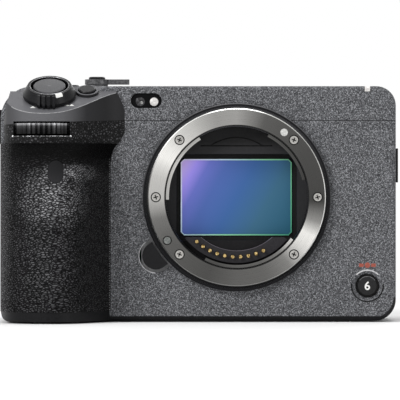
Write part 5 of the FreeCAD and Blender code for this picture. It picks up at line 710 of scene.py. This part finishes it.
def bead_mesh(name, points, radius, sides=8):
    """A round bead along a row of points, closed at both ends."""
    mesh = bmesh.new()
    rings = []
    for number, point in enumerate(points):
        along = (points[min(number + 1, len(points) - 1)] - points[max(number - 1, 0)]).normalized()
        aside = along.cross(Vector((0, -1, 0))).normalized()
        upright = aside.cross(along)
        rings.append([mesh.verts.new(point + radius * (math.cos(angle) * aside + math.sin(angle) * upright))
                      for angle in (2 * math.pi * side / sides for side in range(sides))])
    for near, far in zip(rings, rings[1:]):
        for side in range(sides):
            mesh.faces.new((near[side], far[side], far[(side + 1) % sides], near[(side + 1) % sides]))
    mesh.faces.new(rings[0])
    mesh.faces.new(rings[-1][::-1])
    return rounded_off(name, mesh)


def steps(start, end, count):
    return [start + (end - start) * number / (count - 1) for number in range(count)]


NOWHERE = Matrix.Identity(4)
LIP_BEAD = 0.00011
LIP_LEVEL = 0.0668
LIP_OUTER = -0.0721
LIP_INNER = -0.0388
lip_points = []
for x in steps(LIP_OUTER, LIP_INNER, 40):
    wall = front_of("grip_top", x, LIP_LEVEL)
    lip_points.append(Vector((x, wall.y + LIP_BEAD * 0.5,
                              DECK_LIP.z + (wall.y - DECK_LIP.y) * math.tan(DECK_TILT) - LIP_BEAD * 0.3)))
# Painted highlight: the lip's grey line.
lip_highlight = new_finish("lip_highlight", (0.3, 0.3, 0.31), 0.3, specular=0.4)
clouded(lip_highlight, 0.0008, (0.3, (0.22, 0.22, 0.226)), (0.7, (0.4, 0.4, 0.41)))
fit("deck_edge", bead_mesh("deck_edge", lip_points, LIP_BEAD), (0, 0, 0), NOWHERE, lip_highlight, "root")

# Baffle's step: an arch and its foot line, moulded as a fine rib on the sloping wall of the baffle,
# in near black as painted shade along the step.
STEP_HALF = 0.0115
STEP_UP = AXIS_Z + 0.0166
ARCH_HALF = 0.0084
ARCH_RISE = 0.0027
STEP_BEAD = 0.00019
foot_points = [front_of("light_baffle", x, STEP_UP) for x in steps(-STEP_HALF, STEP_HALF, 24)]
arch_points = [front_of("light_baffle", x, STEP_UP + ARCH_RISE * (1 - (x / ARCH_HALF) ** 2))
               for x in steps(-ARCH_HALF, ARCH_HALF, 24)]
for name, points in (("baffle_foot_rib", foot_points), ("baffle_arch_rib", arch_points)):
    fit(name, bead_mesh(name, points, STEP_BEAD), (0, 0, 0), NOWHERE, painted_shade_black, "root")

# Dial window's sill: a bright pressed strip along the lower edge of the front dial's window, held
# by a stud at each end.
SILL_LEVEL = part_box("front_dial")[0].z - 0.0006
SILL_BEAD = 0.00016
SILL_OUTER = -0.0716
SILL_INNER = -0.0531
sill_points = [front_of("grip_top", x, SILL_LEVEL - 2 * SILL_BEAD) + Vector((0, SILL_BEAD / 2, SILL_BEAD))
               for x in steps(SILL_OUTER, SILL_INNER, 30)]
sill_steel = new_finish("sill_steel", (0.3, 0.3, 0.3), 0.25, metallic=1.0)
clouded(sill_steel, 0.0007, (0.42, (0.03, 0.03, 0.03)), (0.6, (0.4, 0.4, 0.41)))
fit("dial_sill", bead_mesh("dial_sill", sill_points, SILL_BEAD), (0, 0, 0), NOWHERE, sill_steel, "root")
bright_stud = new_finish("bright_stud", (0.75, 0.75, 0.75), 0.3, metallic=1.0)
clouded(bright_stud, 0.0005, (0.3, (0.6, 0.6, 0.6)), (0.7, (0.85, 0.85, 0.85)))
stud_dome = [(0.00034, 0), (0.0003, 0.00012), (0.00016, 0.0002), (0, 0.00022)]
for side, end in (("outer", sill_points[0]), ("inner", sill_points[-1])):
    fit(f"sill_stud_{side}", turned_mesh(f"sill_stud_{side}", stud_dome, rounds=16), end, FACING_FRONT,
        bright_stud, "root")

# Grip cover's beaded edge: a row of fine studs, moulded in one with the rubber along the edge that
# meets the front cover.
STUD_PITCH = 0.00078
STUD_RADIUS = 0.0002
EDGE_X = -0.04098
EDGE_FOOT = 0.0040
EDGE_TOP = 0.0530
studs = bmesh.new()
level = EDGE_FOOT
while level < EDGE_TOP:
    here = front_of("grip_cover", EDGE_X, level)
    bmesh.ops.create_icosphere(studs, subdivisions=1, radius=STUD_RADIUS, matrix=Matrix.Translation(here))
    level += STUD_PITCH
stud_mesh = bpy.data.meshes.new("grip_edge_studs")
studs.to_mesh(stud_mesh)
studs.free()
stud_mesh.shade_smooth()
edge_rubber = new_finish("edge_rubber", (0.05, 0.05, 0.052), 0.4, specular=0.3)
clouded(edge_rubber, 0.0009, (0.3, (0.05, 0.05, 0.05)), (0.65, (0.3, 0.3, 0.31)))
fit("grip_edge_studs", stud_mesh, (0, 0, 0), NOWHERE, edge_rubber, "root")

# Zoom lever's rim: the inner edge is turned bright after anodising, and a mark of white enamel on
# it shows the rest position.
white_enamel = new_finish("white_enamel", (0.8, 0.8, 0.78), 0.35)
clouded(white_enamel, 0.0006, (0.3, (0.7, 0.7, 0.68)), (0.7, (0.84, 0.84, 0.82)))
ON_DECK = Matrix.Rotation(DECK_TILT, 4, "X")
SHUTTER_FOOT = Vector((-0.0601, -0.0244, 0.07249))
RIM_BORE = 0.0061
RIM_LEVEL = 0.004
rim_edge = [(RIM_BORE + 0.00002, RIM_LEVEL - 0.0001), (RIM_BORE, RIM_LEVEL + 0.00002),
            (RIM_BORE + 0.0001, RIM_LEVEL + 0.00009), (RIM_BORE + 0.00022, RIM_LEVEL + 0.00002)]
rim_metal = new_finish("rim_metal", (0.25, 0.25, 0.26), 0.3, metallic=1.0)
clouded(rim_metal, 0.004, (0.35, (0.12, 0.12, 0.125)), (0.6, (0.3, 0.3, 0.31)))
fit("lever_rim", turned_mesh("lever_rim", rim_edge, rounds=72), SHUTTER_FOOT, ON_DECK, rim_metal,
    "zoom_lever")
lever_mark = [(RIM_BORE + 0.0003, RIM_LEVEL + 0.00003), (0.00695, RIM_LEVEL + 0.00004), (0.00706, RIM_LEVEL),
              (0.00752, RIM_LEVEL - 0.0009)]
fit("lever_mark", turned_mesh("lever_mark", lever_mark, start=-72, sweep=19, rounds=10), SHUTTER_FOOT,
    ON_DECK, white_enamel, "zoom_lever")

# Zoom marks: two small signs, printed in white on the deck ahead of the lever, with one peak for
# near and two for far.
def flat_mesh(name, outlines):
    """Flat printed shapes, each from the points of its outline."""
    points = [point for outline in outlines for point in outline]
    faces = []
    first = 0
    for outline in outlines:
        faces.append(list(range(first, first + len(outline))))
        first += len(outline)
    mesh = bpy.data.meshes.new(name)
    mesh.from_pydata([(across, up, 0) for across, up in points], [], faces)
    return mesh


def on_deck_at(x, y):
    """A point just above the deck's slope."""
    lift = 0.00003
    return Vector((x, y, DECK_LIP.z + (y - DECK_LIP.y) * math.tan(DECK_TILT) + lift))


def peak(across, half, tall):
    return [(across - half, 0), (across + half, 0), (across, tall)]


NEAR_PLACE = (-0.0652, -0.0316)
FAR_PLACE = (-0.0536, -0.0303)
fit("near_mark", flat_mesh("near_mark", [peak(0, 0.0009, 0.0015)]), on_deck_at(*NEAR_PLACE), ON_DECK,
    white_enamel, "root")
fit("far_mark", flat_mesh("far_mark", [peak(-0.0008, 0.0008, 0.0013), peak(0.0008, 0.0008, 0.0013)]),
    on_deck_at(*FAR_PLACE), ON_DECK, white_enamel, "root")

# Front window: a small glass lens in its ring and a white diffuser disc, both set flush in the
# dark pane.
PANE_FACE = -0.02043
PANE_LEVEL = 0.07095
LENS_X = -0.03105
GLINT_X = -0.03065
DISC_X = -0.0266
lens_ring = [(0.00145, 0), (0.00138, 0.00008), (0.00122, 0.00008), (0.00112, 0.00002), (0.0006, 0.00001),
             (0, 0.00003)]
window_lens = new_finish("window_lens", (0.02, 0.02, 0.022), 0.1, specular=0.4)
clouded(window_lens, 0.0012, (0.45, (0.006, 0.006, 0.007)), (0.62, (0.06, 0.06, 0.065)))
fit("window_lens", turned_mesh("window_lens", lens_ring), (LENS_X, PANE_FACE, PANE_LEVEL), FACING_FRONT,
    window_lens, "root")
# Painted glint: a small grey dome on the lens.
glint_glass = new_finish("glint_glass", (0.25, 0.25, 0.25), 0.4)
clouded(glint_glass, 0.0003, (0.4, (0.06, 0.06, 0.06)), (0.6, (0.35, 0.35, 0.34)))
fit("lens_glint", turned_mesh("lens_glint", [(0.00048, 0.0001), (0.0003, 0.00013), (0, 0.00014)], rounds=16),
    (GLINT_X, PANE_FACE, PANE_LEVEL - 0.0003), FACING_FRONT, glint_glass, "root")
fit("window_disc", turned_mesh("window_disc", [(0.00136, 0), (0.0013, 0.00006), (0, 0.00009)]),
    (DISC_X, PANE_FACE, PANE_LEVEL), FACING_FRONT, frosted_lens, "root")

# Printed numbers: the buttons that can be given a task carry plain white numbers, printed on their
# faces.
LETTER_DEPTH = 0.01
LETTER_WEIGHT = 0.018
PRINT_THICKNESS = 0.002


def numeral(name, sign, tall, place, facing, finish, body):
    """A printed sign of a given height, centred on its place."""
    drawn = bpy.data.curves.new(name, "FONT")
    drawn.body = sign
    drawn.extrude = LETTER_DEPTH
    drawn.offset = LETTER_WEIGHT
    sheet = bpy.data.objects.new(name, drawn)
    bpy.context.scene.collection.objects.link(sheet)
    mesh = bpy.data.meshes.new_from_object(sheet.evaluated_get(bpy.context.evaluated_depsgraph_get()))
    bpy.data.objects.remove(sheet)
    bpy.data.curves.remove(drawn)
    low = [min(vertex.co[axis] for vertex in mesh.vertices) for axis in range(2)]
    high = [max(vertex.co[axis] for vertex in mesh.vertices) for axis in range(2)]
    middle = Vector(((low[0] + high[0]) / 2, (low[1] + high[1]) / 2, 0))
    scale = tall / (high[1] - low[1])
    mesh.transform(Matrix.Diagonal((scale, scale, PRINT_THICKNESS, 1)) @ Matrix.Translation(-middle))
    mesh.materials.clear()
    return fit(name, mesh, place, facing, finish, body)


FACING_BACK = Matrix.Rotation(math.radians(180), 4, "Z") @ Matrix.Rotation(math.radians(90), 4, "X")
FACING_UP = Matrix.Identity(4)


def face_of(node, axis, side):
    """The middle of one face of a piece's box. Side 0 is the low end of the axis, side 1 the high."""
    low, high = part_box(node)
    place = (low + high) / 2
    place[axis] = (low, high)[side][axis]
    return place


PRINT_LIFT = 0.00002
numeral("number_6", "6", 0.0028, face_of("front_record_button", 1, 0) - Vector((0, PRINT_LIFT, 0)),
        FACING_FRONT, white_enamel, "front_record_button")
numeral("number_1", "1", 0.0022, face_of("top_button_inner", 2, 1), FACING_UP, white_enamel,
        "top_button_inner")
numeral("number_2", "2", 0.0022, face_of("top_button_outer", 2, 1), FACING_UP, white_enamel,
        "top_button_outer")
numeral("number_3", "3", 0.0025, face_of("function_button", 1, 1), FACING_BACK, white_enamel,
        "function_button")

# Record signs: a dot between two bars of red enamel, printed on the front cover over the record
# button, and a red dot on the top record button.
red_enamel = new_finish("red_enamel", (0.5, 0.05, 0.02), 0.4)
clouded(red_enamel, 0.0005, (0.3, (0.2, 0.035, 0.022)), (0.7, (0.34, 0.075, 0.045)))
SIGN_X = 0.0421
SIGN_LEVEL = 0.0183
BAR_INNER = 0.0012
BAR_OUTER = 0.0027
BAR_HALF = 0.00055
dot_profile = [(0.0009, 0), (0.00085, 0.00003), (0, 0.00004)]
panel_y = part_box("front_cover")[0].y
fit("front_record_sign", turned_mesh("front_record_sign", dot_profile, rounds=32),
    (SIGN_X, panel_y, SIGN_LEVEL), FACING_FRONT, red_enamel, "root")
fit("front_record_bar", flat_mesh("front_record_bar", [
    [(start, -BAR_HALF), (end, -BAR_HALF), (end, BAR_HALF), (start, BAR_HALF)]
    for start, end in ((-BAR_OUTER, -BAR_INNER), (BAR_INNER, BAR_OUTER))]),
    (SIGN_X, panel_y - PRINT_LIFT, SIGN_LEVEL), FACING_FRONT, red_enamel, "root")
fit("top_record_sign", turned_mesh("top_record_sign", [(0.0016, 0), (0.0015, 0.00003), (0, 0.00004)],
                                   rounds=32),
    face_of("record_button", 2, 1) - Vector((0, 0, 0.00005)), FACING_UP, red_enamel, "record_button")

# Front record button: a pressed rim with a painted highlight on its upper edge, in a shallow dish
# of the panel. The dish's edge has a painted highlight above and painted shade below.
button_low, button_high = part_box("front_record_button")
button_middle = (button_low + button_high) / 2
button_reach = (button_high.x - button_low.x) / 2
DISH_REACH = 0.005
edge_highlight = new_finish("edge_highlight", (0.4, 0.4, 0.41), 0.4, specular=0.3)
clouded(edge_highlight, 0.0008, (0.35, (0.4, 0.4, 0.41)), (0.65, (0.6, 0.6, 0.61)))
for name, inner, width, start, sweep, finish in (
        ("dish_light_edge", DISH_REACH - 0.0002, 0.0004, 45, 90, edge_highlight),
        ("dish_shade_edge", DISH_REACH - 0.0001, 0.0004, 172, 196, painted_shade_black)):
    fit(name, turned_mesh(name, [(inner, 0), (inner + width, 0)], start=start, sweep=sweep),
        (button_middle.x, panel_y - PRINT_LIFT, button_middle.z), FACING_FRONT, finish, "root")
button_face = new_finish("button_face", (0.02, 0.02, 0.021), 0.5, specular=0.1)
clouded(button_face, 0.0004, (0.3, (0.014, 0.014, 0.0145)), (0.7, (0.024, 0.024, 0.025)))
fit("button_disc", turned_mesh("button_disc", [(button_reach * 0.84, 0), (button_reach * 0.8, 0.00003),
                                               (0, 0.00003)]),
    (button_middle.x, button_low.y + 0.000025, button_middle.z), FACING_FRONT, button_face,
    "front_record_button")
# Painted shade: the dark ring between the button's face and its rim.
fit("button_gap", turned_mesh("button_gap", [(button_reach * 0.83, 0), (button_reach * 0.99, 0)]),
    (button_middle.x, button_low.y + 0.00001, button_middle.z), FACING_FRONT, painted_shade_black,
    "front_record_button")
rim_highlight = new_finish("rim_highlight", (0.12, 0.12, 0.123), 0.4, specular=0.2)
clouded(rim_highlight, 0.0008, (0.35, (0.06, 0.06, 0.062)), (0.65, (0.16, 0.16, 0.165)))
fit("button_rim", turned_mesh("button_rim", [(button_reach * 0.8, 0), (button_reach * 0.82, 0.00002),
                                             (button_reach * 0.86, 0)], start=35, sweep=110),
    (button_middle.x, button_low.y, button_middle.z), FACING_FRONT, rim_highlight, "front_record_button")

# Release button's slot: a round opening in the front cover, whose edge carries a fine painted
# highlight line on the side away from the mount.
RELEASE_TURN = 216
RELEASE_REACH = 0.0321
RELEASE_EDGE = 0.0054
release_middle = Vector((RELEASE_REACH * math.cos(math.radians(RELEASE_TURN)), panel_y - PRINT_LIFT,
                         AXIS_Z + RELEASE_REACH * math.sin(math.radians(RELEASE_TURN))))
fit("release_edge", turned_mesh("release_edge", [(RELEASE_EDGE, 0), (RELEASE_EDGE + 0.00022, 0)],
                                start=RELEASE_TURN - 88, sweep=140),
    release_middle, FACING_FRONT, edge_highlight, "root")

# Signs on the back: three bars on the menu button, a triangle on the playback button, and four
# short marks round the control wheel.
def bar(middle, half_long, half_tall):
    across, up = middle
    return [(across - half_long, up - half_tall), (across + half_long, up - half_tall),
            (across + half_long, up + half_tall), (across - half_long, up + half_tall)]


fit("menu_sign", flat_mesh("menu_sign", [bar((0, row * 0.0007), 0.0011, 0.00013) for row in (-1, 0, 1)]),
    face_of("menu_button", 1, 1) + Vector((0, PRINT_LIFT, 0)), FACING_BACK, white_enamel, "menu_button")
fit("playback_sign", flat_mesh("playback_sign", [[(-0.0009, -0.0012), (0.0013, 0), (-0.0009, 0.0012)]]),
    face_of("playback_button", 1, 1) + Vector((0, PRINT_LIFT, 0)), FACING_BACK, white_enamel,
    "playback_button")
WHEEL_MARKS = 0.0071
wheel_signs = [bar((0, WHEEL_MARKS), 0.0008, 0.00015), bar((0, -WHEEL_MARKS), 0.0008, 0.00015),
               bar((WHEEL_MARKS, 0), 0.00015, 0.0008), bar((-WHEEL_MARKS, 0), 0.00015, 0.0008)]
fit("wheel_signs", flat_mesh("wheel_signs", wheel_signs),
    face_of("control_wheel", 1, 1) + Vector((0, PRINT_LIFT, 0)), FACING_BACK, white_enamel,
    "control_wheel")
